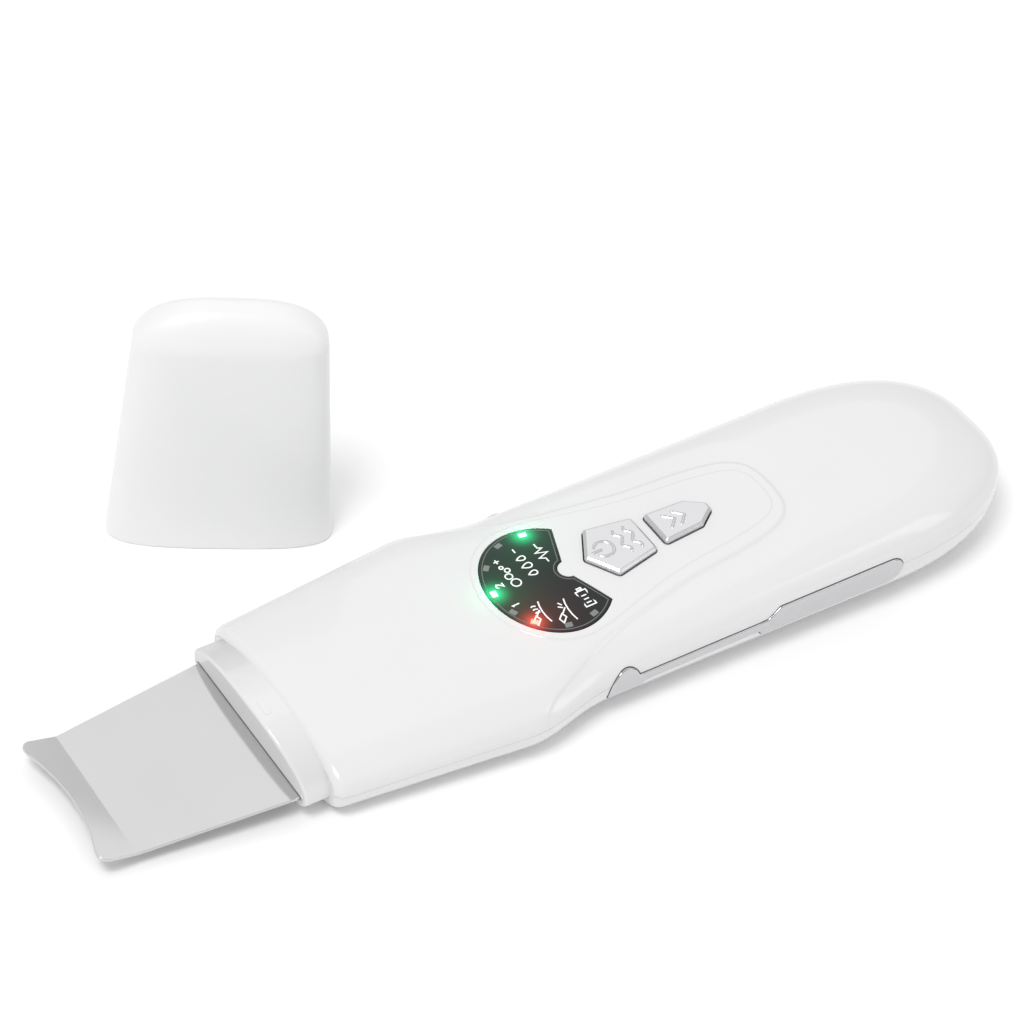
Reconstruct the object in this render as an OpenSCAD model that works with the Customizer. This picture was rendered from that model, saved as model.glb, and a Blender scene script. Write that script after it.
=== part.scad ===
// Ultrasonic skin scrubber lying on its back with its cap standing beside it.
// The steel blade points to -X, the rounded tail to +X, the control panel faces +Z.
// The origin lies on the flat underside, straight below the notch of the display.

/* [Body] */
// Distance from the display notch to the front edge of the head
head_front = 60; // [59:0.5:61]
// Half the width of the head at its front edge
head_half = 22.4; // [21.8:0.1:23]
// Half the width at the shoulder, the widest place
shoulder_half = 26.1; // [25.5:0.1:27.5]
// Half the width at the waist, beside the display
waist_half = 22.7; // [22.4:0.1:24]
// Half the width of the grip
grip_half = 22.6; // [22:0.1:23.5]
// Height of the upper surface above the rest face at the display notch
crown_mid = 15.4; // [15.3:0.1:16.2]
// Rise of the upper surface for each millimetre toward the tail
crown_slope = 0.07; // [0.068:0.001:0.074]
// Distance from the display notch to the end of the tail
tail_end = 97; // [95:0.5:99]
// Wall thickness of both case halves
wall = 2; // [1.8:0.1:2.2]

/* [Blade] */
// Length of the flat part of the blade in front of the collar
blade_flat = 29.7; // [28:0.1:31]
// Length of the bent tip of the blade
tip_len = 7.4; // [6:0.1:8]
// Upward bend of the tip in degrees
tip_angle = 17; // [12:1:22]
// Thickness of the steel sheet
blade_t = 0.6; // [0.5:0.1:0.8]
// Depth of the hollow in the tip edge
tip_hollow = 2.6; // [1.5:0.1:3]

/* [Controls] */
// How far the buttons stand above the case
button_proud = 1.3; // [1:0.1:1.6]
// Travel of the two buttons
button_travel = 0.4; // [0.3:0.05:0.45]
// Gap around each button
button_gap = 0.3; // [0.25:0.05:0.4]

/* [Cap] */
// Height of the standing cap
cap_height = 54.5; // [52:0.5:58]
// Wall thickness of the cap
cap_wall = 1; // [0.95:0.05:1.1]
// Clearance between the cap and the collar
cap_fit = 0.2; // [0.15:0.05:0.25]

/* [Hidden] */
body_power = 2.9;      // exponent of the body's superellipse sections
tail_start = 60;       // where the tail begins to close
tail_power = 2.45;     // exponent of the closing curve in plan
front_round = 1.8;     // radius of the head's front edge
shoulder_x = -21;      // station of the widest place
waist_x = -3;          // station of the waist
split_gap = 0.05;      // half the gap between the case halves
floor_trim = 0.9;      // depth of the rounded bottom cut away by the flat underside

collar_len = 4.9;
collar_front = head_front + collar_len;
collar_half = 20;
collar_high = 5.3;
spigot_end = collar_len + 3.5;
split_tilt = atan(crown_slope / 2);
droop = 3.6;           // fall of the blade toward its tip, in degrees
drive_z = 4.6;         // height of the blade at the collar's front

mouth_half = collar_half + cap_fit + cap_wall;
mouth_high = collar_high + cap_fit + cap_wall;
cap_place = [-41.5, 52.1, 0];
cap_turn = -27.5;
cap_power = 3.2;       // exponent of the cap's sections
cap_arch = 2.6;        // exponent of its rounded end, seen from the front
cap_round = 8.8;       // height of its rounded end
cap_taper = [0.077, 0.011]; // what its half width and half depth lose per millimetre of height
cap_cols = 40;

disp_x = -3.6;         // centre of the display's round outline
disp_a = 11.7;         // its half length along X
disp_b = 13.4;         // its half width along Y
notch_apex = 0.2;      // where the two straight edges of its notch would meet
notch_x = 1.2;         // centre of the round end of the notch
notch_r = 2.1;
glass_t = 1.2;
glass_drop = 0.12;     // the window lies this far below the case
board_z = 7.6;         // underside of the main board
board_t = 1.2;
board_top = board_z + board_t;
board_x = -18;         // its end nearest the blade
board_len = 55;
board_half = 18.5;
board_post_places = [[-12, 14], [-12, -14], [18, 17], [18, -17]];
stem_d = 3.2;
port_z = 8.2;

white = [0.95, 0.95, 0.95];
steel = [0.72, 0.73, 0.74];
chrome = [0.8, 0.8, 0.82];
rubber = [0.15, 0.15, 0.16];
green = [0.1, 0.4, 0.25];

// ---------------------------------------------------------------- curves

function clamp01(t) = max(0, min(1, t));
function ease(t) = clamp01(t) * clamp01(t) * (3 - 2 * clamp01(t));
function mix(a, b, t) = a + (b - a) * t;

function crown(x) = crown_mid + crown_slope * x;
function split(x) = crown(x) / 2;

function half_width(x) =
    x < shoulder_x ? mix(head_half, shoulder_half, (x + head_front) / (shoulder_x + head_front))
    : x < waist_x ? mix(shoulder_half, waist_half, ease((x - shoulder_x) / (waist_x - shoulder_x)))
    : mix(waist_half, grip_half, ease((x - waist_x) / 24));

function tail_factor(x, o) =
    x <= tail_start ? 1
    : pow(max(0, 1 - pow((x - tail_start) / (tail_end + o - tail_start), tail_power)), 1 / tail_power);

function front_inset(x) =
    x >= front_round - head_front ? 0
    : front_round - sqrt(max(0, pow(front_round, 2) - pow(front_round - head_front - x, 2)));

function power(v, p) = sign(v) * pow(abs(v), p);

// A point of the case surface at station x and angle t, moved outward by o.
function case_point(x, t, o) =
    let (inset = o < -1 ? 0 : front_inset(x),
        f = tail_factor(x, o),
        w = (half_width(x) + o - inset) * f,
        h = ((t <= 180 ? crown(x) - split(x) : split(x) + floor_trim) + o - inset) * f,
        y = w * power(cos(t), 2 / body_power),
        z = split(x) + h * power(sin(t), 2 / body_power))
    [x, y, max(z, -o)];

// Height of the upper surface above a point of the plan.
function top_z(x, y) =
    split(x) + (crown(x) - split(x))
        * pow(max(0, 1 - pow(abs(y) / half_width(x), body_power)), 1 / body_power);

// ---------------------------------------------------------------- solids

// Closed slab between two grids of points of the same size.
module slab(outer, inner, closed_ends) {
    rows = len(outer);
    cols = len(outer[0]);
    n = rows * cols;
    pts = concat([for (r = outer) each r], [for (r = inner) each r]);
    function at(i, j, k) = k * n + i * cols + j;
    skin = [for (i = [0:rows - 2], j = [0:cols - 2]) each [
        [at(i, j, 0), at(i + 1, j, 0), at(i + 1, j + 1, 0)],
        [at(i, j, 0), at(i + 1, j + 1, 0), at(i, j + 1, 0)],
        [at(i, j, 1), at(i + 1, j + 1, 1), at(i + 1, j, 1)],
        [at(i, j, 1), at(i, j + 1, 1), at(i + 1, j + 1, 1)]]];
    sides = [for (i = [0:rows - 2]) each [
        [at(i, 0, 0), at(i, 0, 1), at(i + 1, 0, 1)],
        [at(i, 0, 0), at(i + 1, 0, 1), at(i + 1, 0, 0)],
        [at(i, cols - 1, 0), at(i + 1, cols - 1, 1), at(i, cols - 1, 1)],
        [at(i, cols - 1, 0), at(i + 1, cols - 1, 0), at(i + 1, cols - 1, 1)]]];
    last = rows - 1;
    open_ends = [for (j = [0:cols - 2]) each [
        [at(0, j, 0), at(0, j + 1, 1), at(0, j, 1)],
        [at(0, j, 0), at(0, j + 1, 0), at(0, j + 1, 1)],
        [at(last, j, 0), at(last, j, 1), at(last, j + 1, 1)],
        [at(last, j, 0), at(last, j + 1, 1), at(last, j + 1, 0)]]];
    caps = [
        [for (j = [0:cols - 1]) at(0, j, 0)],
        [for (j = [cols - 1:-1:0]) at(0, j, 1)],
        [for (j = [cols - 1:-1:0]) at(last, j, 0)],
        [for (j = [0:cols - 1]) at(last, j, 1)],
        [at(0, 0, 0), at(0, cols - 1, 0), at(0, cols - 1, 1)],
        [at(0, 0, 0), at(0, cols - 1, 1), at(0, 0, 1)],
        [at(last, 0, 0), at(last, cols - 1, 1), at(last, cols - 1, 0)],
        [at(last, 0, 0), at(last, 0, 1), at(last, cols - 1, 1)]];
    polyhedron(pts, concat(skin, sides, closed_ends ? caps : open_ends), convexity = 8);
}

// Stations along the body; the tail end lies closer by o.
function stations(o) = concat(
    [for (a = [0:30:60]) (o < 0 ? -o : front_round * (1 - cos(a))) - head_front + (o < 0 ? a / 60 : 0)],
    [for (x = [3.4 - head_front:4.2:shoulder_x - 3]) x],
    [for (x = [shoulder_x:3:waist_x]) x],
    [for (x = [waist_x + 7:7:tail_start]) x],
    [for (a = [9.6:9.6:87]) tail_start + (tail_end + o - tail_start) * sin(a)]);

module case_half(from, to) {
    arc = [for (k = [0:1:20]) from + (to - from) * k / 20];
    outer = [for (x = stations(0)) [for (t = arc) case_point(x, t, 0)]];
    inner = [for (x = stations(-wall)) [for (t = arc) case_point(x, t, -wall)]];
    slab(outer, inner, true);
}

// Part of the case surface between offsets o1 (outside) and o2, over a plan rectangle.
module top_skin(x1, x2, y_half, o1, o2, nx, ny) {
    xs = [for (i = [0:nx]) mix(x1, x2, i / nx)];
    ys = [for (j = [0:ny]) mix(y_half, -y_half, j / ny)];
    slab([for (x = xs) [for (y = ys) [x, y, top_z(x, y) + o1]]],
        [for (x = xs) [for (y = ys) [x, y, top_z(x, y) + o2]]], false);
}

// Part of the side surface between offsets o1 (outside) and o2.
module side_skin(x1, x2, t1, t2, o1, o2) {
    nx = 24;
    xs = [for (i = [0:nx]) mix(x1, x2, i / nx)];
    ts = [for (k = [0:12]) mix(t1, t2, k / 12)];
    slab([for (x = xs) [for (t = ts) case_point(x, t, o1)]],
        [for (x = xs) [for (t = ts) case_point(x, t, o2)]], false);
}

module superellipse(a, b, p, steps) {
    polygon([for (k = [0:steps - 1])
        let (t = 360 * k / steps) [a * power(cos(t), 2 / p), b * power(sin(t), 2 / p)]]);
}

// A flat outline in Y and Z, pulled along +X from x1 to x2 on the blade's axis.
module along_x(x1, x2) {
    translate([x1, 0, 0]) rotate([90, 0, 90]) linear_extrude(x2 - x1) children();
}

// Places children on the drive axis, which falls toward the blade's tip.
// Its X is measured from the collar's front face.
module on_drive_axis() {
    translate([-collar_front, 0, drive_z]) rotate([0, -droop, 0]) children();
}

// Places children on the split plane, with X measured from the collar's front face.
module on_split_axis() {
    translate([-collar_front, 0, split(-collar_front)]) rotate([0, -split_tilt, 0]) children();
}

module x_cylinder(x, len, d, faces = 48) {
    translate([x, 0, 0]) rotate([0, 90, 0]) cylinder(h = len, d = d, $fn = faces);
}

// ---------------------------------------------------------------- outlines

module display_outline(grow) {
    offset_a = disp_a + grow;
    offset_b = disp_b + grow;
    difference() {
        intersection() {
            translate([disp_x, 0]) polygon([for (k = [0:47])
                [offset_a * cos(k * 7.5), offset_b * sin(k * 7.5)]]);
            polygon([[-30, -30], [notch_apex + 7.6 + grow, -20], [notch_apex + grow, 0],
                [notch_apex + 7.6 + grow, 20], [-30, 30]]);
        }
        translate([notch_x, 0]) circle(r = notch_r - grow, $fn = 40);
    }
}

module power_outline(grow) {
    g = grow;
    polygon([[4.8 - 1.1 * g, 0], [8.4 - 0.6 * g, 6.3 + g], [17.8 + g, 4.5 + g],
        [17.8 + g, -4.5 - g], [8.4 - 0.6 * g, -6.3 - g]]);
}

module mode_outline(grow) {
    g = grow;
    polygon([[20.1 - g, 4 + g], [28.6 + 0.6 * g, 3.5 + g], [31.9 + g, 0.8 + 0.4 * g],
        [31.9 + g, -0.8 - 0.4 * g], [28.6 + 0.6 * g, -3.5 - g], [20.1 - g, -4 - g]]);
}

// Spade-shaped line around the display and the buttons, as half widths along X.
panel_tip = 44.2;
function panel_half(x) = mix(15.6, 9.2, ease((x + 8) / 34))
    * pow(max(0, 1 - pow(max(0, x - 28) / (panel_tip - 28), 2.4)), 1 / 2.4);
module panel_outline(grow) {
    xs = concat([-9, -4, 0, 4, 8, 12, 16, 20, 24, 28],
        [for (a = [12:12:84]) 28 + (panel_tip - 28) * sin(a)]);
    upper = [for (x = xs) [x, panel_half(x) + grow]];
    round_front = [for (a = [100:10:180])
        [disp_x + (disp_a + 1.2 + grow) * cos(a), (disp_b + 1.9 + grow) * sin(a)]];
    half = concat([[panel_tip + grow, 0]], [for (k = [len(upper) - 1:-1:2]) upper[k]], round_front);
    polygon(concat(half, [for (k = [len(half) - 2:-1:1]) [half[k][0], -half[k][1]]]));
}

// Long outline of the side electrode in X and height above the split line.
electrode_x1 = -3.7;
electrode_x2 = 62.5;
module electrode_outline() {
    lobe_r = 3.6;
    low = -2.8;
    bar_low = -2.25;
    polygon(concat(
        [for (a = [180:-15:20]) [electrode_x1 + lobe_r + lobe_r * cos(a), low + 5.8 * sin(a)]],
        [[electrode_x1 + 2 * lobe_r + 0.6, 0.3], [31.2, 0.4], [33.9, 2.4]],
        [for (a = [90:-18:-90]) [electrode_x2 - 3 + 3 * cos(a), -0.4 + 2.8 * sin(a)]],
        [[30.6, -3.2], [30.2, bar_low], [4.4, bar_low], [3.4, low]]));
}

// ---------------------------------------------------------------- case

module case_openings() {
    spigot_gap = 0.15;
    // seat of the collar's spigot in the head's front wall
    on_split_axis() along_x(collar_len - 3, spigot_end + 0.4)
            superellipse(collar_half - 1.4 + spigot_gap, collar_high - 1 + spigot_gap, body_power, 40);
    for (side = [-1, 1]) {
        electrode_seat(side, 0.12);
        electrode_stud(side, 2.1, 6);
    }
}

module electrode_body(side, out, deep, grow) {
    mirror([0, side > 0 ? 1 : 0, 0]) intersection() {
        side_skin(electrode_x1 - 1, electrode_x2 + 1, 140, 220, out, deep);
        translate([0, 0, split(0)]) rotate([0, -split_tilt, 0])
            translate([0, -10, 0]) rotate([90, 0, 0]) linear_extrude(30)
                offset(delta = grow) electrode_outline();
    }
}

module electrode_seat(side, grow) {
    electrode_body(side, 1, -1.1, grow);
}

module screw_posts(z1, z2, d) {
    for (p = post_places) translate([p[0], p[1], z1]) cylinder(h = z2 - z1, d = d, $fn = 32);
}

module post_column(z1, reach, d) {
    for (p = post_places) translate([p[0], p[1], z1])
        cylinder(h = top_z(p[0], p[1]) - reach - z1, d = d, $fn = 32);
}

post_places = [[-46, 16], [-46, -16], [77, 12.5], [77, -12.5]];
screw_z = 1.2;

module upper_case() {
    color(white) difference() {
        union() {
            translate([0, 0, split_gap]) case_half(0, 180);
            difference() {
                post_column(5.6, wall * 0.6, 5);
                post_column(5.5, wall + 1, 1.6);
            }
        }
        case_openings();
        translate([0, 0, 5]) linear_extrude(20) display_outline(0.12);
        translate([0, 0, 5]) linear_extrude(20) power_outline(button_gap);
        translate([0, 0, 5]) linear_extrude(20) mode_outline(button_gap);
        panel_groove();
    }
}

module panel_groove() {
    intersection() {
        top_skin(-20, 46, 19, 1, -0.45, 22, 14);
        linear_extrude(30) difference() {
            panel_outline(0.9);
            panel_outline(0.3);
        }
    }
}

module lower_case() {
    color(white) difference() {
        union() {
            translate([0, 0, -split_gap]) case_half(180, 360);
            screw_posts(wall - 0.4, 5.4, 5.4);
            cradles();
            board_posts();
            battery_ribs();
        }
        case_openings();
        // counterbored screw holes from below
        screw_posts(-1, 7, 2.2);
        screw_posts(-1, screw_z + 1.4, 4.2);
        port_hole();
    }
}

// Rubber-lined saddles that carry the transducer.
cradle_xs = [16.8, 20.6];
saddle_d = 7.2;
module cradles() {
    intersection() {
        on_drive_axis() for (x = cradle_xs) difference() {
            translate([x - 1, -11, -8]) cube([2, 22, 8]);
            x_cylinder(x - 2, 4, saddle_d + 0.2);
        }
        translate([-60, -20, wall - 0.3]) cube([40, 40, 20]);
    }
}

module board_posts() {
    for (p = board_post_places)
        translate([p[0], p[1], wall - 0.4]) cylinder(h = board_z - wall + 0.3, d = 3, $fn = 24);
}

module battery_ribs() {
    for (side = [-1, 1]) translate([40, side * 16.2 - 0.6, wall - 0.4]) cube([26, 1.2, 4]);
    translate([71.6, -9, wall - 0.4]) cube([1.2, 18, 4]);
}

module port_hole() {
    translate([84, 0, port_z]) along_x(0, 20) rounded_slot(9.3, 3.6);
}

module rounded_slot(width, height) {
    for (s = [-1, 1]) translate([s * (width - height) / 2, 0]) circle(d = height, $fn = 32);
    square([width - height, height], center = true);
}

// ---------------------------------------------------------------- collar and blade

slot_high = 0.8;        // half height of the collar's slot
seal_gap = 0.1;         // gap between the seal and the blade
face_t = 2.9;           // thickness of the collar's front wall
blade_mouth_half = 18.1; // half the width of the blade where it leaves the collar
blade_bend_half = 15.2;
blade_root = 4.2;       // how far the wide part reaches into the collar
tongue_half = 9;
tongue_end = 14.3;
tip_half = 15.3;
tip_corner = 2;         // radius of the corners of the tip
hollow_half = 13;       // half the width of the hollow in the tip edge

module collar() {
    color(white) difference() {
        on_split_axis() difference() {
            union() {
                collar_front_part();
                along_x(collar_len - 0.3, spigot_end)
                    superellipse(collar_half - 1.4, collar_high - 1, body_power, 40);
            }
            translate([0, 0, -0.3]) along_x(face_t, 20) superellipse(12.6, 2.9, body_power, 40);
        }
        blade_slot(blade_mouth_half + 0.6, slot_high);
    }
}

// The collar's visible part, with its front edge rounded in steps.
module collar_front_part() {
    steps = 5;
    round_r = 0.8;
    for (k = [0:steps]) {
        inset = round_r * (1 - sin(90 * k / steps));
        along_x(round_r * (1 - cos(90 * k / steps)), collar_len - 0.2)
            superellipse(collar_half - inset, collar_high - inset, body_power, 48);
    }
}

module blade_slot(half, high) {
    on_drive_axis() translate([-1, -half, -high]) cube([blade_root + 1.4, 2 * half, 2 * high]);
}

function blade_half(x) = mix(blade_mouth_half, blade_bend_half, -x / blade_flat);

// Plan of the blade, from its bent tip to the tongue that the horn clamps.
module blade_plan() {
    tip_x = -blade_flat - tip_len * cos(tip_angle);
    corner = [tip_x + tip_corner, tip_half - tip_corner];
    side = concat(
        [[tongue_end, tongue_half], [blade_root, tongue_half], [blade_root, blade_half(blade_root)],
            [-blade_flat, blade_bend_half]],
        [for (a = [80:20:180]) [corner[0] + tip_corner * cos(a), corner[1] + tip_corner * sin(a)]]);
    hollow_r = (pow(hollow_half, 2) + pow(tip_hollow, 2)) / (2 * tip_hollow);
    difference() {
        polygon(concat(side, [for (k = [len(side) - 1:-1:0]) [side[k][0], -side[k][1]]]));
        translate([tip_x - hollow_r + tip_hollow, 0]) circle(r = hollow_r, $fn = 160);
    }
}

// Side view of the blade: a flat sheet with its tip bent up.
module blade_side() {
    reach = tip_len + 1;
    up = [-sin(tip_angle), -cos(tip_angle)] * blade_t / 2;
    end = [-blade_flat - reach * cos(tip_angle), reach * sin(tip_angle)];
    miter = blade_t / 2 * tan(tip_angle / 2);
    polygon([[tongue_end + 1, -blade_t / 2], [tongue_end + 1, blade_t / 2],
        [-blade_flat + miter, blade_t / 2], end - up, end + up, [-blade_flat - miter, -blade_t / 2]]);
}

module blade() {
    color(steel) on_drive_axis() intersection() {
        translate([0, 0, -10]) linear_extrude(30) blade_plan();
        translate([0, 25, 0]) rotate([90, 0, 0]) linear_extrude(50) blade_side();
    }
}

module blade_seal() {
    color(rubber) on_drive_axis() difference() {
        half = blade_mouth_half + 0.5;
        high = slot_high - 0.1;
        translate([0.5, -half, -high]) cube([2, 2 * half, 2 * high]);
        translate([0, 0.1 - half, -blade_t / 2 - seal_gap])
            cube([3, 2 * half - 0.2, blade_t + 2 * seal_gap]);
    }
}

// ---------------------------------------------------------------- transducer

stack_d = 7.6;
horn_d = 5.8;
horn_x = 8.8;
horn_len = 16.2;
ring_x = horn_x + horn_len;
ring_t = 2.3;
tab_t = 0.2;
mass_x = ring_x + 2 * ring_t + 2 * tab_t;
mass_len = 10;

module horn() {
    color([0.8, 0.8, 0.82]) on_drive_axis() difference() {
        union() {
            // split tongue that holds the blade
            translate([horn_x, -9.6, -2.5]) cube([6.2, 19.2, 5]);
            x_cylinder(horn_x + 6, horn_len - 6, horn_d);
            x_cylinder(ring_x - 2.6, 2.6, stack_d);
        }
        translate([horn_x - 1, -10, -blade_t / 2 - 0.05]) cube([6.8, 20, blade_t + 0.1]);
        // tapped hole for the clamp bolt
        x_cylinder(ring_x - 7, 8, 3.1, 32);
        for (x = cradle_xs) isolator_groove(x);
    }
}

module isolator_groove(x) {
    difference() {
        x_cylinder(x - 0.8, 1.6, 9);
        x_cylinder(x - 1, 2, horn_d - 0.8);
    }
}

module piezo_rings() {
    color([0.35, 0.33, 0.3]) on_drive_axis() for (k = [0, 1]) difference() {
        x_cylinder(ring_x + tab_t + k * (ring_t + tab_t), ring_t, stack_d);
        x_cylinder(ring_x - 1, 8, 3.6, 32);
    }
}

module electrode_tabs() {
    color([0.8, 0.5, 0.3]) on_drive_axis() for (k = [0, 1]) {
        x = ring_x + k * (ring_t + tab_t);
        difference() {
            union() {
                x_cylinder(x + 0.02, tab_t - 0.04, stack_d - 0.6);
                translate([x + 0.02, 2, -1]) cube([tab_t - 0.04, 5, 2]);
            }
            x_cylinder(x - 1, 2, 3.6, 32);
        }
    }
}

module back_mass() {
    color([0.6, 0.6, 0.62]) on_drive_axis() difference() {
        x_cylinder(mass_x + 0.05, mass_len, stack_d);
        x_cylinder(mass_x - 1, mass_len + 2, 3.4, 32);
    }
}

module clamp_bolt() {
    color([0.4, 0.4, 0.42]) on_drive_axis() {
        x_cylinder(ring_x - 6.5, mass_x + mass_len - ring_x + 6.6, 2.9, 32);
        difference() {
            x_cylinder(mass_x + mass_len + 0.08, 2.6, 5.6, 32);
            x_cylinder(mass_x + mass_len + 1.4, 2, 2.9, 6);
        }
    }
}

module isolator_rings() {
    color(rubber) on_drive_axis() for (x = cradle_xs) difference() {
        x_cylinder(x - 0.7, 1.4, saddle_d);
        x_cylinder(x - 1, 2, horn_d - 0.7);
    }
}

// ---------------------------------------------------------------- display and controls

module display_window() {
    color([0.1, 0.14, 0.13]) intersection() {
        top_skin(-17, 6, 15.5, -glass_drop, -glass_drop - glass_t, 12, 12);
        linear_extrude(30) display_outline(0);
    }
}

led_angles = [103, 73, 39, 6, -21, -43, -76, -107]; // round the display, measured from -X
led_ring = [10.2, 11.9];                             // half axes of the ring they stand on

module led_places() {
    for (a = led_angles) translate([disp_x - led_ring[0] * cos(a), led_ring[1] * sin(a), 0]) children();
}

module light_guide() {
    color([0.2, 0.2, 0.2]) difference() {
        intersection() {
            top_skin(-17, 6, 15.5, -0.3 - glass_t, -2.4 - glass_t, 12, 12);
            linear_extrude(30) display_outline(-0.4);
        }
        led_places() translate([0, 0, 5]) cylinder(h = 20, d = 1.8, $fn = 24);
        translate([0, 0, 5]) linear_extrude(20) translate([disp_x, 0]) square([9, 12], center = true);
    }
}

module leds() {
    color([0.9, 0.9, 0.8]) led_places() translate([-0.8, -0.5, board_top + 0.02]) cube([1.6, 1, 0.5]);
}

module main_board() {
    color(green) difference() {
        translate([board_x, -board_half, board_z]) cube([board_len, 2 * board_half, board_t]);
        for (p = board_post_places)
            translate([p[0], p[1], board_z - 1]) cylinder(h = 4, d = 1.6, $fn = 24);
        // corners cut away beside the transducer's leads
        for (y = [-20, 14]) translate([board_x - 1, y, board_z - 1]) cube([3, 6, 4]);
    }
}

switch_xs = [12.3, 25.4];
switch_h = 1.6;
plunger_h = 0.5;
module tact_switches() {
    color([0.25, 0.25, 0.27]) for (x = switch_xs) {
        translate([x - 2.6, -2.6, board_top + 0.02]) cube([5.2, 5.2, switch_h]);
        translate([x, 0, board_top + switch_h]) cylinder(h = plunger_h, d = 2.4, $fn = 32);
    }
}

module button_solid(x1, x2, switch_x) {
    stem_z = board_top + switch_h + plunger_h + button_travel + 0.15;
    // visible head
    intersection() {
        top_skin(x1 - 2, x2 + 2, 9, button_proud, -wall - 0.5, 8, 6);
        linear_extrude(30) children(0);
    }
    // flange under the case wall
    intersection() {
        top_skin(x1 - 2, x2 + 2, 9, -wall - 0.35, -wall - 1, 8, 6);
        linear_extrude(30) children(1);
    }
    // stem that reaches the switch
    translate([switch_x, 0, stem_z])
        cylinder(h = top_z(switch_x, 0) - wall - stem_z, d = stem_d, $fn = 32);
}

module power_button() {
    color(chrome) button_solid(4.8, 17.8, switch_xs[0]) {
        power_outline(0);
        intersection() {
            power_outline(button_gap + 0.6);
            translate([6, -12]) square([12.7, 24]);
        }
    }
}

module mode_button() {
    color(chrome) button_solid(20.1, 32, switch_xs[1]) {
        mode_outline(0);
        intersection() {
            mode_outline(button_gap + 0.6);
            translate([19.4, -12]) square([14, 24]);
        }
    }
}

stud_x = 22.5;
// Round stud that carries the electrode's contact through the case wall.
module electrode_stud(side, d, tip) {
    translate([stud_x, side * 21.9, split(stud_x) - 1.25]) rotate([side * 90, 0, 0])
        cylinder(h = tip, d = d, $fn = 24);
}

module side_electrode_right() {
    color(chrome) {
        electrode_body(-1, 0.3, -1, 0);
        electrode_stud(-1, 1.8, 3.1);
    }
}

module side_electrode_left() {
    color(chrome) {
        electrode_body(1, 0.3, -1, 0);
        electrode_stud(1, 1.8, 3.1);
    }
}

// ---------------------------------------------------------------- electronics

module contact_springs() {
    color([0.8, 0.7, 0.4]) for (side = [-1, 1]) mirror([0, side > 0 ? 1 : 0, 0]) {
        translate([stud_x - 1.5, -18.4, board_z - 0.45]) cube([3, 2.4, 0.4]);
        translate([stud_x - 1.5, -18.7, 5.9]) cube([3, 0.35, board_z - 5.95]);
    }
}

battery_size = [32, 30, 7];
battery_x = 39;
pad_t = 0.8;

module battery() {
    color([0.55, 0.58, 0.62]) translate([battery_x, -battery_size[1] / 2, wall + pad_t + 0.1]) {
        cube(battery_size);
        // protection board at the end of the cell
        translate([-1.6, 9, 2.2]) cube([1.7, 12, 2.8]);
    }
}

module battery_pad() {
    color([0.3, 0.3, 0.32]) translate([battery_x + 2, -12, wall + 0.05]) cube([28, 24, pad_t]);
}

module battery_leads() {
    lead_z = 5.8;
    lead_d = 1.2;
    color([0.8, 0.1, 0.1]) for (y = [-2.4, 2.4]) translate([31, y, lead_z]) {
        x_cylinder(0, 6.3, lead_d, 24);
        sphere(d = lead_d, $fn = 24);
        cylinder(h = board_z - lead_z - 0.05, d = lead_d, $fn = 24);
    }
}

module transducer_leads() {
    lead_z = 5.9;
    lead_d = 1;
    color([0.9, 0.9, 0.9]) for (k = [0, 1]) translate([-39.4 + k * 2.5, 7.6 + k * 1.6, lead_z]) {
        len = 25 - k * 2;
        sphere(d = lead_d, $fn = 24);
        x_cylinder(0, len, lead_d, 24);
        translate([len, 0, 0]) {
            sphere(d = lead_d, $fn = 24);
            cylinder(h = board_z - lead_z - 0.05, d = lead_d, $fn = 24);
        }
    }
}

module driver_coil() {
    color([0.25, 0.22, 0.2]) translate([-4, -8, board_z - 5]) {
        cylinder(h = 1, d = 9, $fn = 48);
        cylinder(h = 4.9, d = 5.5, $fn = 48);
        translate([0, 0, 3.9]) cylinder(h = 1, d = 9, $fn = 48);
    }
    color([0.7, 0.4, 0.2]) translate([-4, -8, board_z - 4.1]) cylinder(h = 3.1, d = 7.6, $fn = 48);
}

module control_chip() {
    side = 7;
    pin = 0.4;
    color([0.12, 0.12, 0.13]) translate([4, 6, board_z]) {
        translate([0, 0, -1.5]) cube([side, side, 1.4]);
        for (k = [0:6]) translate([pin + k, -0.8, -0.5]) cube([pin, side + 1.6, pin]);
    }
}

module charging_port() {
    color([0.7, 0.7, 0.72]) translate([87, 0, port_z]) difference() {
        along_x(0, 7.4) rounded_slot(9, 3.3);
        along_x(1.2, 9) rounded_slot(8.4, 2.7);
    }
    color([0.1, 0.1, 0.1]) translate([88.1, -3.3, port_z - 0.35]) cube([5.2, 6.6, 0.7]);
}

module charging_board() {
    color(green) translate([76, -7.5, port_z - 2.75]) cube([14, 15, 1]);
}

module case_screws() {
    color([0.4, 0.4, 0.42]) for (p = post_places) translate([p[0], p[1], screw_z]) difference() {
        union() {
            cylinder(h = 1.3, d = 3.8, $fn = 32);
            cylinder(h = 7.2, d = 1.5, $fn = 32);
        }
        for (a = [0, 90]) rotate([0, 0, a]) translate([-1.2, -0.25, -0.1]) cube([2.4, 0.5, 0.8]);
    }
}

// ---------------------------------------------------------------- cap

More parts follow.
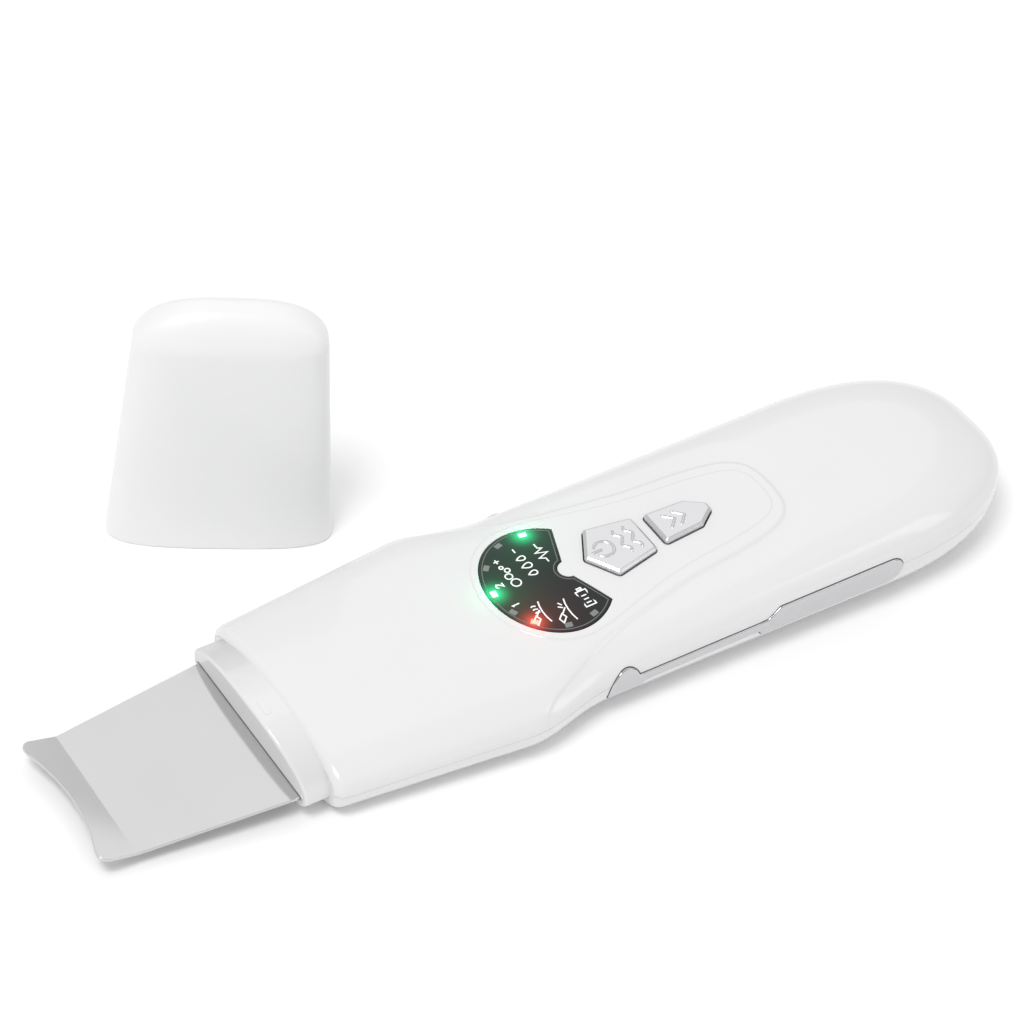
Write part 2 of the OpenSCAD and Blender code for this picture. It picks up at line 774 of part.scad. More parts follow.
// How far height z has come through the rounded end of a cap moved inward by i, from 0 to 1.
function cap_rise(z, i) = clamp01((z - cap_height + i + cap_round) / cap_round);
function cap_half(z, i) = (mouth_half - i - cap_taper[0] * z)
    * pow(1 - pow(cap_rise(z, i), cap_arch), 1 / cap_arch);
function cap_deep(z, i) = (mouth_high - i - cap_taper[1] * z) * sqrt(1 - pow(cap_rise(z, i), 2));
function cap_ring(z, i) = [for (k = [0:cap_cols - 1])
    let (t = 360 * k / cap_cols)
    [cap_half(z, i) * power(cos(t), 2 / cap_power), cap_deep(z, i) * power(sin(t), 2 / cap_power), z]];
function cap_levels(i) =
    let (shoulder = cap_height - i - cap_round)
    concat([for (k = [0:7]) k * shoulder / 7],
        [for (a = [15:15:75]) shoulder + cap_round * sin(a)], [cap_height - i - 0.06]);

module cap_loft(i) {
    rings = [for (z = cap_levels(i)) cap_ring(z, i)];
    cols = cap_cols;
    pts = [for (r = rings) each r];
    rows = len(rings);
    walls = [for (j = [0:rows - 2], k = [0:cols - 1])
        let (a = j * cols + k, b = j * cols + (k + 1) % cols) each [
            [a, a + cols, b + cols], [a, b + cols, b]]];
    ends = [[for (k = [0:cols - 1]) k], [for (k = [cols - 1:-1:0]) (rows - 1) * cols + k]];
    polyhedron(pts, concat(walls, ends), convexity = 4);
}

module cap() {
    color(white) translate(cap_place) rotate([0, 0, cap_turn]) difference() {
        cap_loft(0);
        translate([0, 0, -0.01]) cap_loft(cap_wall);
    }
}

upper_case();
lower_case();
collar();
blade();
blade_seal();
horn();
piezo_rings();
electrode_tabs();
back_mass();
clamp_bolt();
isolator_rings();
display_window();
light_guide();
leds();
main_board();
tact_switches();
power_button();
mode_button();
side_electrode_right();
side_electrode_left();
contact_springs();
battery();
battery_pad();
battery_leads();
transducer_leads();
driver_coil();
control_chip();
charging_port();
charging_board();
case_screws();
cap();
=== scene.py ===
"""Looks of a hand-held skin scrubber lying on its back, with its cap standing behind it.

Lengths are in millimetres up to the moment a mesh is made, and Blender's metres after it.
The shapes follow the same curves as the CAD part, so every piece lands on its own node.
"""

import math

import bpy
import numpy as np
from mathutils import Matrix, Vector
from mathutils.geometry import delaunay_2d_cdt


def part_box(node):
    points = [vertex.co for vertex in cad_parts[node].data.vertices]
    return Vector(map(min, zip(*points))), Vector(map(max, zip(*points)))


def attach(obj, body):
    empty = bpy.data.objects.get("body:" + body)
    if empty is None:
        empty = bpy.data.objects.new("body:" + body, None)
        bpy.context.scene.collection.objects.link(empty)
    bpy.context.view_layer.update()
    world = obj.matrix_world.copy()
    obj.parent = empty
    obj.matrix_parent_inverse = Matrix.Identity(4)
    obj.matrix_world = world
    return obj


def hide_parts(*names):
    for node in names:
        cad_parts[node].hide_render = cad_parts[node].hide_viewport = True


MM = 0.001
NEARLY_ONE = 0.9999
LEAST_CORNER_R = 0.12
LATTICE_ROW = 0.866

# ---- the part's driving dimensions

HEAD_HALF = 22.4
SHOULDER_HALF = 26.1
WAIST_HALF = 22.7
GRIP_HALF = 22.6
SHOULDER_X = -21.0
WAIST_X = -3.0
GRIP_EASE = 24.0
CROWN_MID = 15.4
CROWN_SLOPE = 0.07
BODY_POWER = 2.9
TAIL_START = 60.0
TAIL_POWER = 2.45
FRONT_ROUND = 1.8
FRONT_ARC = math.radians(75)
FLOOR_TRIM = 0.9
SHELL_T = 1.6

COLLAR_LEN = 4.9
COLLAR_HALF = 20.0
COLLAR_HIGH = 5.3
COLLAR_POWER = 2.45
COLLAR_ROUND = 0.6
COLLAR_TUCK = 1.2
COLLAR_MARK_AT = (-62.9, -1.3)
COLLAR_MARK_RISE = 0.07
SLOT_HIGH = 0.8
SLOT_ROUND = 0.25
SLOT_SIDE_GAP = 0.45
DROOP = math.radians(3.6)
DRIVE_Z = 4.6

BLADE_FLAT = 29.7
BLADE_T = 0.6
BLADE_MOUTH_HALF = 18.1
BLADE_BEND_HALF = 15.2
BLADE_TONGUE = 3.5
TIP_LEN = 7.4
TIP_ANGLE = math.radians(17)
TIP_HALF = 15.3
TIP_CORNER = 2.0
TIP_HOLLOW = 2.6
TIP_HOLLOW_HALF = 13
BEND_R = 2.5

DISPLAY_X = -3.6
DISPLAY_A = 11.7
DISPLAY_B = 13.4
NOTCH_APEX = 0.2
NOTCH_X = 1.2
NOTCH_R = 2.1
NOTCH_SIDE = (7.6, 20.0)
DISPLAY_LIFT = 0.02
LED_A = 10.4
LED_B = 11.9
LED_ANGLES = {"1": 103, "2": 73, "3": 39, "4": 6, "5": -21, "6": -43, "7": -76, "8": -107}
LIT = {"1": "green", "4": "green", "6": "red"}

BUTTON_PROUD = 1.3
BUTTON_GAP = 0.2
SYMBOL_HEIGHT = 0.2
SYMBOL_HALF = 0.34

PANEL_RISE = 0.2
PANEL_RAMP = 0.26
CREASE_DROP = 0.5
CREASE_RAMP = 0.65
CREASE_FADE = 6.5
SEAM_ROUND = 0.12

DISPLAY_TOP = DISPLAY_LIFT + PANEL_RISE

STRIP_PROUD = 0.32
STRIP_DEPTH = 0.62
# how far the painted shadow sheet reaches out past the chrome strip
STRIP_SHADOW_REACH = 0.16

PORT_HALF = 4.65
PORT_HIGH = 1.8
PORT_Z = 8.2
PORT_DEPTH = 6.5
PORT_MOUTH_X = 94.1
PORT_TONGUE_X = 93.3
SCREWS = [(-46, 16), (-46, -16), (77, 12.5), (77, -12.5)]
SCREW_HOLE_R = 2.1

CAP_PLACE = (-41.5, 52.1)
CAP_TURN = math.radians(-27.5)
CAP_POWER = 3.2
CAP_WALL = 1.0
CAP_ROUND = 8.8
CAP_ARCH = 2.3
CAP_TAPER = (0.077, 0.011)
CAP_MOUTH_HALF = 21.2
CAP_MOUTH_HIGH = 6.5
CAP_COUNT = 168

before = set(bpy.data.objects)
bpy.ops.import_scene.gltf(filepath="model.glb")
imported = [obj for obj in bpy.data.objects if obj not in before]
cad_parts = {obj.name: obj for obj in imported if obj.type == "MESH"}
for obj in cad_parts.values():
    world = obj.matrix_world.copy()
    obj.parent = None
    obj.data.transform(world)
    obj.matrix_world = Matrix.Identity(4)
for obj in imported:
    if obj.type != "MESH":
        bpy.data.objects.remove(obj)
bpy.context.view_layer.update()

HEAD_FRONT = -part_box("upper_case")[0].x / MM
TAIL_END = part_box("upper_case")[1].x / MM
CAP_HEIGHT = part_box("cap")[1].z / MM
COLLAR_FRONT = HEAD_FRONT + COLLAR_LEN
FRONT_FLAT = FRONT_ROUND - HEAD_FRONT
TAIL_LEN = TAIL_END - TAIL_START


# ---- curves

def clamp(t, low=0.0, high=1.0):
    return np.minimum(np.maximum(t, low), high)


def ease(t):
    t = clamp(t)
    return t * t * (3 - 2 * t)


def mix(a, b, t):
    return a + (b - a) * t


def crown(x):
    return CROWN_MID + CROWN_SLOPE * x


def split_z(x):
    return crown(x) / 2


def sharp_half_width(x):
    head = mix(HEAD_HALF, SHOULDER_HALF, (x + HEAD_FRONT) / (SHOULDER_X + HEAD_FRONT))
    waist = mix(SHOULDER_HALF, WAIST_HALF, ease((x - SHOULDER_X) / (WAIST_X - SHOULDER_X)))
    grip = mix(WAIST_HALF, GRIP_HALF, ease((x - WAIST_X) / GRIP_EASE))
    return np.where(x < SHOULDER_X, head, np.where(x < WAIST_X, waist, grip))


def half_width(x):
    """The plan's half width, with the shoulder's corner softened over a few millimetres."""
    reach = 2.4
    steps = np.linspace(-reach, reach, 13)
    weights = 1 + np.cos(np.pi * steps / reach)
    return sum(w * sharp_half_width(x + d) for d, w in zip(steps, weights)) / weights.sum()


def ellipse(a, b, angles):
    return np.stack([a * np.cos(angles), b * np.sin(angles)], 1)


def superellipse(a, b, power, count):
    t = np.linspace(0, 2 * np.pi, count, endpoint=False)
    c, s = np.cos(t), np.sin(t)
    return np.stack([a * np.sign(c) * abs(c) ** (2 / power), b * np.sign(s) * abs(s) ** (2 / power)], 1)


def unit(v):
    return v / np.maximum(np.linalg.norm(v, axis=-1, keepdims=True), 1e-12)


def even(points, count, closed=False):
    """The polyline's points again, evenly spaced along it."""
    p = np.array(points, float)
    if closed:
        p = np.vstack([p, p[:1]])
    way = np.concatenate([[0], np.cumsum(np.linalg.norm(np.diff(p, axis=0), axis=1))])
    at = np.linspace(0, way[-1], count, endpoint=not closed)
    return np.stack([np.interp(at, way, p[:, 0]), np.interp(at, way, p[:, 1])], 1)


def rectangle(wide, high):
    """Corners of a rectangle of the given half sizes, turning left."""
    return [(-wide, -high), (wide, -high), (wide, high), (-wide, high)]


def smooth_loop(points, passes):
    """Rounds the corners of a closed, evenly spaced loop a little."""
    p = np.array(points, float)
    for _ in range(passes):
        p = (np.roll(p, 1, 0) + 2 * p + np.roll(p, -1, 0)) / 4
    return p


def grown(points, grow):
    """A closed loop, turning left, moved outward by grow."""
    p = np.array(points, float)
    before, after = unit(p - np.roll(p, 1, 0)), unit(np.roll(p, -1, 0) - p)
    n1 = np.stack([before[:, 1], -before[:, 0]], 1)
    n2 = np.stack([after[:, 1], -after[:, 0]], 1)
    normal = unit(n1 + n2)
    stretch = np.maximum((normal * n1).sum(1), 0.5)
    return p + normal * (grow / stretch)[:, None]


def rounded_polygon(corners, radius, grow, per_edge=10, per_corner=7):
    """A convex polygon, turning left, moved outward by grow, with its corners rounded."""
    p = grown(corners, grow)
    r = max(radius + grow, LEAST_CORNER_R)
    arcs = []
    for k, corner in enumerate(p):
        back = unit(p[k - 1] - corner)
        ahead = unit(p[(k + 1) % len(p)] - corner)
        half = math.acos(float(clamp(np.dot(back, ahead), -1, 1))) / 2
        centre = corner + unit(back + ahead) * r / math.sin(half)
        first = corner + back * r / math.tan(half) - centre
        start = math.atan2(first[1], first[0])
        turns = start + (math.pi - 2 * half) * np.linspace(0, 1, per_corner)
        arcs.append(centre + r * np.stack([np.cos(turns), np.sin(turns)], 1))
    out = []
    for k, arc in enumerate(arcs):
        following = arcs[(k + 1) % len(arcs)][0]
        way = np.linspace(0, 1, per_edge + 1)[1:-1, None]
        out += [arc, mix(arc[-1], following, way)]
    return np.vstack(out)


def segments_distance(points, path, closed):
    """Distance from each point to a polyline."""
    a = np.array(path, float)
    b = np.roll(a, -1, 0) if closed else a[1:]
    a = a if closed else a[:-1]
    best = np.full(len(points), 1e9)
    d = b - a
    length2 = np.maximum((d * d).sum(1), 1e-12)
    for k in range(0, len(a), 64):
        rel = points[:, None] - a[None, k:k + 64]
        t = clamp((rel * d[None, k:k + 64]).sum(2) / length2[None, k:k + 64])
        gap = rel - t[..., None] * d[None, k:k + 64]
        best = np.minimum(best, np.sqrt((gap * gap).sum(2)).min(1))
    return best


def inside(points, loop):
    """True for each point inside a closed loop."""
    a = np.array(loop, float)
    b = np.roll(a, -1, 0)
    x, y = points[:, 0], points[:, 1]
    result = np.zeros(len(points), bool)
    for (x1, y1), (x2, y2) in zip(a, b):
        if y1 == y2:
            continue
        crosses = ((y1 > y) != (y2 > y)) & (x < (x2 - x1) * (y - y1) / (y2 - y1) + x1)
        result ^= crosses
    return result


def signed_distance(points, loop):
    """Negative inside the loop, positive outside it."""
    gap = segments_distance(points, loop, True)
    return np.where(inside(points, loop), -gap, gap)


# ---- surfaces

class CaseSkin:
    """One half of the case.

    A point is (u, v): the way along the body, and the way round it from its middle line.
    """

    ROWS = 480
    COLS = 260
    TAIL_ROWS = 200
    FRONT_U = FRONT_ROUND - HEAD_FRONT - FRONT_ROUND * FRONT_ARC
    TAIL_U = TAIL_START + TAIL_LEN * math.pi / 2

    def __init__(self, upper):
        self.up = 1.0 if upper else -1.0
        self.rows = np.linspace(self.FRONT_U, self.TAIL_U, self.ROWS)
        angle = np.linspace(0, np.pi / 2, 1441)
        across = np.sin(angle) ** (2 / BODY_POWER)
        height = np.cos(angle) ** (2 / BODY_POWER)
        wide, high, _ = self.sizes(self.rows)
        self.length = np.zeros(self.ROWS)
        self.across = np.zeros((self.ROWS, self.COLS + 1))
        self.height = np.zeros((self.ROWS, self.COLS + 1))
        share = np.linspace(0, 1, self.COLS + 1)
        for k in range(self.ROWS):
            steps = np.hypot(np.diff(across) * wide[k], np.diff(height) * high[k])
            way = np.concatenate([[0], np.cumsum(steps)])
            self.length[k] = way[-1]
            self.across[k] = np.interp(share * way[-1], way, across)
            self.height[k] = np.interp(share * way[-1], way, height)

    def end_turns(self, u):
        """How far round the front edge's and the tail's curve u lies."""
        front = clamp((FRONT_FLAT - u) / FRONT_ROUND, 0, np.pi / 2)
        return front, clamp((u - TAIL_START) / TAIL_LEN, 0, np.pi / 2)

    def station(self, u):
        """The X of a place along the body."""
        front, tail = self.end_turns(u)
        x = np.where(u > TAIL_START, TAIL_START + TAIL_LEN * np.sin(tail), u)
        return np.where(u < FRONT_FLAT, FRONT_FLAT - FRONT_ROUND * np.sin(front), x)

    def sizes(self, u):
        """Half width, half height and split height of the section at u."""
        front, tail = self.end_turns(u)
        inset = FRONT_ROUND * (1 - np.cos(front))
        close = np.maximum(1 - np.sin(tail) ** TAIL_POWER, 1e-7) ** (1 / TAIL_POWER)
        x = self.station(u)
        high = crown(x) - split_z(x) if self.up > 0 else split_z(x) + FLOOR_TRIM
        return (half_width(x) - inset) * close, (high - inset) * close, split_z(x)

    def reach(self, u):
        """The way from the middle line to the split line."""
        return np.interp(u, self.rows, self.length)

    def look_up(self, table, u, share):
        r = clamp((u - self.FRONT_U) / (self.TAIL_U - self.FRONT_U)) * (self.ROWS - 1)
        c = clamp(share) * self.COLS
        i = np.minimum(r.astype(int), self.ROWS - 2)
        j = np.minimum(c.astype(int), self.COLS - 1)
        fr, fc = r - i, c - j
        low = mix(table[i, j], table[i, j + 1], fc)
        high = mix(table[i + 1, j], table[i + 1, j + 1], fc)
        return mix(low, high, fr)

    def normal(self, u, y, z):
        wide, high, middle = self.sizes(u)
        step = 0.02
        ahead, behind = np.minimum(u + step, self.TAIL_U), np.maximum(u - step, self.FRONT_U)

        def level(at):
            w, h, s = self.sizes(at)
            return (abs(y) / w) ** BODY_POWER + (abs(z - s) / h) ** BODY_POWER

        slope = (level(ahead) - level(behind)) / (ahead - behind)
        run = (self.station(ahead) - self.station(behind)) / (ahead - behind)
        gy = BODY_POWER * np.sign(y) * (abs(y) / wide) ** (BODY_POWER - 1) / wide
        gz = BODY_POWER * np.sign(z - middle) * (abs(z - middle) / high) ** (BODY_POWER - 1) / high
        return unit(np.stack([slope, gy * run, gz * run], 1))

    def place(self, points, lift=0.0):
        """Points on the surface, raised by lift, and the surface's normals there."""
        p = np.array(points, float).reshape(-1, 2)
        u = clamp(p[:, 0], self.FRONT_U, self.TAIL_U)
        v = p[:, 1]
        wide, high, middle = self.sizes(u)
        share = abs(v) / np.maximum(self.reach(u), 1e-6)
        a, b = self.look_up(self.across, u, share), self.look_up(self.height, u, share)
        fit = (a ** BODY_POWER + b ** BODY_POWER) ** (-1 / BODY_POWER)
        y = np.sign(v) * a * fit * wide
        z = middle + self.up * b * fit * high
        n = self.normal(u, y, z)
        if self.up < 0:
            flat = z < 0
            n = np.where(flat[:, None], np.array([0.0, 0.0, -1.0]), n)
            z = np.maximum(z, 0)
        at = np.stack([self.station(u), y, z], 1)
        return at + n * np.reshape(lift, (-1, 1)), n

    def from_plan(self, points):
        """(u, v) of points given as X and Y."""
        p = np.array(points, float).reshape(-1, 2)
        u = self.along(p[:, 0])
        wide, _, _ = self.sizes(u)
        return self.round_from(u, np.sign(p[:, 1]), clamp(abs(p[:, 1]) / wide, 0, NEARLY_ONE))

    def from_side(self, points, side):
        """(u, v) of points given as X and height from the split line toward this half's crown."""
        p = np.array(points, float).reshape(-1, 2)
        u = self.along(p[:, 0])
        _, high, _ = self.sizes(u)
        b = clamp(p[:, 1] / high, 0, NEARLY_ONE)
        return self.round_from(u, np.full(len(u), float(side)), (1 - b ** BODY_POWER) ** (1 / BODY_POWER))

    def along(self, x):
        """The u of a station X behind the rounded front."""
        tail = np.arcsin(clamp((x - TAIL_START) / TAIL_LEN))
        return np.where(x > TAIL_START, TAIL_START + TAIL_LEN * tail, x)

    def round_from(self, u, sign, a):
        row = (u - self.FRONT_U) / (self.TAIL_U - self.FRONT_U) * (self.ROWS - 1)
        share = np.linspace(0, 1, self.COLS + 1)
        out = []
        for k in range(len(u)):
            i = min(int(row[k]), self.ROWS - 2)
            s1 = np.interp(a[k], self.across[i], share)
            s2 = np.interp(a[k], self.across[i + 1], share)
            out.append(sign[k] * mix(s1, s2, row[k] - i) * self.reach(u[k]))
        return np.stack([u, np.array(out)], 1)

    def rim(self, grow):
        """The half's border, turning left: the split line, round the tail, and the front edge."""
        inset = -grow
        rows = self.rows[-self.TAIL_ROWS:]
        tail = np.interp(-max(inset, 0.02), -self.length[-self.TAIL_ROWS:], rows)
        front = self.FRONT_U + inset
        t = 1 - (1 - np.linspace(0, 1, 170)) ** 1.6
        u = mix(front, tail, t)
        v = self.reach(u) - inset
        v[-1] = 0
        far = np.stack([u[:-1], v[:-1]], 1)
        near = np.stack([u, -v], 1)
        edge = np.linspace(v[0], -v[0], 46)[1:-1]
        return np.vstack([near, far[::-1], np.stack([np.full(len(edge), front), edge], 1)])


class Plane:
    """A flat face: a point is (a, b) along two directions from an origin."""

    def __init__(self, origin, a, b):
        self.origin, self.a, self.b = (np.array(v, float) for v in (origin, a, b))
        self.n = np.cross(self.a, self.b)

    def place(self, points, lift=0.0):
        p = np.array(points, float).reshape(-1, 2)
        n = np.repeat(self.n[None], len(p), 0)
        return self.origin + p[:, :1] * self.a + p[:, 1:] * self.b + n * np.reshape(lift, (-1, 1)), n


class SideSkin:
    """A side of the case across the split line: a point is (X, height above the split line)."""

    def __init__(self, upper, lower, side):
        self.upper, self.lower, self.side = upper, lower, side

    def place(self, points, lift=0.0):
        p = np.array(points, float).reshape(-1, 2)
        out, normals = np.zeros((len(p), 3)), np.zeros((len(p), 3))
        for skin, part in ((self.upper, p[:, 1] >= 0), (self.lower, p[:, 1] < 0)):
            if part.any():
                uv = skin.from_side(np.stack([p[part, 0], abs(p[part, 1])], 1), self.side)
                out[part], normals[part] = skin.place(uv)
        return out + normals * np.reshape(lift, (-1, 1)), normals


class Raised:
    """A surface moved outward by a fixed height."""

    def __init__(self, base, height):
        self.base, self.height = base, height

    def place(self, points, lift=0.0):
        return self.base.place(points, np.asarray(lift) + self.height)


class BladeSkin:
    """The top of the blade: a point is (way from the collar toward the tip, way across)."""

    def place(self, points, lift=0.0):
        p = np.array(points, float).reshape(-1, 2)
        start = BLADE_FLAT - BEND_R * math.tan(TIP_ANGLE / 2)
        arc = BEND_R * TIP_ANGLE
        bend = clamp((p[:, 0] - start) / arc) * TIP_ANGLE
        beyond = np.maximum(p[:, 0] - start - arc, 0)
        x = np.minimum(p[:, 0], start) + BEND_R * np.sin(bend) + beyond * math.cos(TIP_ANGLE)
        z = BEND_R * (1 - np.cos(bend)) + beyond * math.sin(TIP_ANGLE) + BLADE_T / 2
        at = np.stack([-x, -p[:, 1], z], 1)
        n = np.stack([np.sin(bend), 0 * bend, np.cos(bend)], 1)
        return on_drive_axis(at + n * np.reshape(lift, (-1, 1))), turned_down(n)


def turned_down(v):
    c, s = math.cos(DROOP), math.sin(DROOP)
    return np.stack([v[:, 0] * c - v[:, 2] * s, v[:, 1], v[:, 0] * s + v[:, 2] * c], 1)


def on_drive_axis(points):
    """From the blade's own axes, which fall toward its tip, to the part's."""
    return turned_down(points) + np.array([-COLLAR_FRONT, 0, DRIVE_Z])


# ---- solids

def rounded_edge(radius, depth, steps=4):
    """Edge profile as (inset, depth, tilt of the normal): a quarter round, then a straight wall."""
    arc = [(radius * (1 - math.sin(a)), radius * (1 - math.cos(a)), a)
           for a in np.linspace(0, math.pi / 2, steps + 1)]
    return arc + [(0.0, depth, math.pi / 2)]


def square_edge(depth, inset=0.0):
    """Edge profile: straight down, from an inset at the top."""
    return [(inset, 0.0, 0.0), (0.0, depth, math.pi / 2)]


def chamfered_edge(width, drop, radius, depth):
    """Edge profile: a small round, a chamfer, another small round and a wall."""
    tilt = math.atan2(drop, width)
    top = [(width + radius, 0.0, 0.0), (width, radius * 0.25, tilt * 0.5)]
    top += [(width - radius, radius * 0.8, tilt)]
    low = [(radius, drop - radius * 0.6, tilt), (radius * 0.3, drop, (tilt + math.pi / 2) / 2)]
    return top + low + [(0.0, drop + radius, math.pi / 2), (0.0, depth, math.pi / 2)]


def lattice(loop, spacing):
    low, high = loop.min(0), loop.max(0)
    xs = np.arange(low[0] + spacing / 2, high[0], spacing)
    ys = np.arange(low[1] + spacing / 2, high[1], spacing * LATTICE_ROW)
    points = [(x + (spacing / 2 if j % 2 else 0), y) for j, y in enumerate(ys) for x in xs]
    return np.array(points, float).reshape(-1, 2)


def flat_mesh(rim, holes, lines, spacing):
    """Triangulates the region in the rim and outside the holes.

    Returns its points, its triangles and the indices of each loop's points.
    """
    loops = [np.array(rim, float)] + [np.array(h, float) for h in holes]
    grid = lattice(loops[0], spacing)
    keep = inside(grid, loops[0])
    for k, loop in enumerate(loops):
        keep &= segments_distance(grid, loop, True) > 0.55 * spacing
        if k:
            keep &= ~inside(grid, loop)
    for line in lines:
        gap = np.linalg.norm(np.diff(line, axis=0), axis=1).mean()
        keep &= segments_distance(grid, line, False) > 0.5 * gap
    points, edges, starts = [], [], []
    for loop in loops:
        starts.append(len(points))
        count = len(loop)
        edges += [(starts[-1] + k, starts[-1] + (k + 1) % count) for k in range(count)]
        points += [tuple(q) for q in loop]
    for line in lines:
        first = len(points)
        edges += [(first + k, first + k + 1) for k in range(len(line) - 1)]
        points += [tuple(q) for q in line]
    points += [tuple(q) for q in grid[keep]]
    made, _, faces, origin, _, _ = delaunay_2d_cdt([Vector(q) for q in points], edges, [], 0, 1e-6)
    made = np.array([tuple(q) for q in made])
    place_of = {}
    for new, olds in enumerate(origin):
        for old in olds:
            place_of[old] = new
    rings = [[place_of[starts[k] + j] for j in range(len(loop))] for k, loop in enumerate(loops)]
    faces = np.array([f for f in faces], int)
    middle = made[faces].mean(1)
    good = inside(middle, loops[0])
    for loop in loops[1:]:
        good &= ~inside(middle, loop)
    return made, faces[good], rings


def relief_normals(skin, points, normals, relief):
    """Tilts the surface's normals by the slope of the relief on it."""
    step = 0.03
    du, dv = np.array([step, 0]), np.array([0, step])
    tu = (skin.place(points + du)[0] - skin.place(points - du)[0]) / (2 * step)
    tv = (skin.place(points + dv)[0] - skin.place(points - dv)[0]) / (2 * step)
    hu = (relief(points + du) - relief(points - du)) / (2 * step)
    hv = (relief(points + dv) - relief(points - dv)) / (2 * step)
    tilt = hu[:, None] * tu / np.maximum((tu * tu).sum(1), 0.05)[:, None]
    tilt += hv[:, None] * tv / np.maximum((tv * tv).sum(1), 0.05)[:, None]
    return unit(normals - tilt)


def skin_solid(name, skin, rim, holes=(), lines=(), spacing=1.0, relief=None):
    """A closed plate that follows a surface.

    The rim and each hole are (outline as a function of grow, edge profile).
    """
    borders = [(rim[0], rim[1], -1.0)] + [(h[0], h[1], 1.0) for h in holes]
    loops = [outline(sign * profile[0][0]) for outline, profile, sign in borders]
    points, triangles, rings = flat_mesh(loops[0], loops[1:], lines, spacing)
    depth = rim[1][-1][1]
    raised = relief(points) if relief else np.zeros(len(points))
    top, normals = skin.place(points, raised)
    if relief:
        normals = relief_normals(skin, points, normals, relief)
    bottom, under = skin.place(points, -depth)
    count = len(points)
    verts = [top, bottom]
    corner_normals = {k: normals[k] for k in range(count)}
    faces = [tuple(t) for t in triangles] + [tuple(t + count) for t in triangles]
    expected = [normals[t].mean(0) for t in triangles] + [-under[t].mean(0) for t in triangles]
    smooth = [corner_normals] * len(triangles) + [{}] * len(triangles)
    total = 2 * count
    for (outline, profile, sign), ring in zip(borders, rings):
        last = list(ring)
        last_normals = normals[ring]
        for inset, drop, tilt in profile[1:]:
            loop = outline(sign * inset)
            lift = relief(loop) - drop if relief else np.full(len(loop), -drop)
            at, up = skin.place(loop, lift)
            delta = 0.05
            outward = skin.place(outline(sign * inset + delta))[0]
            outward = outward - skin.place(outline(sign * inset - delta))[0]
            outward = unit(outward - up * (outward * up).sum(1)[:, None]) * -sign
            here = unit(up * math.cos(tilt) + outward * math.sin(tilt))
            now = list(range(total, total + len(loop)))
            total += len(loop)
            verts.append(at)
            table = dict(zip(last, last_normals))
            table.update(zip(now, here))
            for k in range(len(loop)):
                j = (k + 1) % len(loop)
                faces.append((last[k], now[k], now[j], last[j]))
                expected.append((here[k] + here[j] + last_normals[k] + last_normals[j]) / 4)
                smooth.append(table)
            last, last_normals = now, here
        bottom_ring = [k + count for k in ring]
        for k in range(len(ring)):
            j = (k + 1) % len(ring)
            faces.append((last[k], bottom_ring[k], bottom_ring[j], last[j]))
            expected.append(-(under[ring[k]] + under[ring[j]]) / 2)
            smooth.append({})
    return make_mesh(name, np.vstack(verts), faces, expected, smooth)


def linked(name, data):
    """A new object of the scene."""
    obj = bpy.data.objects.new(name, data)
    bpy.context.scene.collection.objects.link(obj)
    return obj


def make_mesh(name, verts, faces, expected=None, smooth=None, sharp=32):
    """Makes the object, with each face turned the expected way, and the given corner normals."""
    if expected is not None:
        turned = []
        for face, want in zip(faces, expected):
            a, b, c = verts[face[0]], verts[face[1]], verts[face[2]]
            n = np.cross(b - a, c - a)
            if len(face) == 4:
                n = n + np.cross(c - a, verts[face[3]] - a)
            turned.append(face if np.dot(n, want) >= 0 else tuple(reversed(face)))
        faces = turned
    mesh = bpy.data.meshes.new(name)
    mesh.from_pydata([tuple(v * MM) for v in verts], [], [tuple(int(i) for i in f) for f in faces])
    mesh.polygons.foreach_set("use_smooth", [True] * len(mesh.polygons))
    mesh.set_sharp_from_angle(angle=math.radians(sharp))
    if smooth is not None:
        corners = []
        for face, table in zip(faces, smooth):
            corners += [tuple(table[i]) if i in table else (0.0, 0.0, 0.0) for i in face]
        mesh.normals_split_custom_set(corners)
    return linked(name, mesh)


def loft(name, rings, sharp=32):
    """A closed solid through rings of points, in order along its outside and back along its inside."""
    size = len(rings[0])
    verts = np.vstack(rings)
    faces = []
    for r in range(len(rings) - 1):
        for k in range(size):
            j = (k + 1) % size
            faces.append((r * size + k, r * size + j, (r + 1) * size + j, (r + 1) * size + k))
    faces.append(tuple(reversed(range(size))))
    faces.append(tuple(range((len(rings) - 1) * size, len(rings) * size)))
    return make_mesh(name, verts, faces, sharp=sharp)


def ribbon(name, skin, paths, width, lift, thick=0.03):
    """Flat strokes drawn on a surface. Each path is (points, closed), in the surface's own coordinates."""
    verts, faces = [], []
    for points, closed in paths:
        p = np.array(points, float)
        ahead = np.roll(p, -1, 0) - p
        behind = p - np.roll(p, 1, 0)
        if not closed:
            ahead[-1], behind[0] = behind[-1], ahead[0]
        direction = unit(unit(ahead) + unit(behind))
        normal = np.stack([-direction[:, 1], direction[:, 0]], 1)
        stretch = np.maximum((normal * np.stack([-unit(ahead)[:, 1], unit(ahead)[:, 0]], 1)).sum(1), 0.4)
        offset = normal * (width / 2 / stretch)[:, None]
        start = sum(len(v) for v in verts)
        n = len(p)
        for side, height in ((1, lift), (-1, lift), (-1, lift - thick), (1, lift - thick)):
            verts.append(skin.place(p + side * offset, height)[0])
        for k in range(n if closed else n - 1):
            j = (k + 1) % n
            for a in range(4):
                b = (a + 1) % 4
                faces.append((start + a * n + k, start + b * n + k, start + b * n + j, start + a * n + j))
        if not closed:
            faces.append(tuple(start + a * n for a in range(4))[::-1])
            faces.append(tuple(start + a * n + n - 1 for a in range(4)))
    return make_mesh(name, np.vstack(verts), faces)


# ---- outlines on the panel

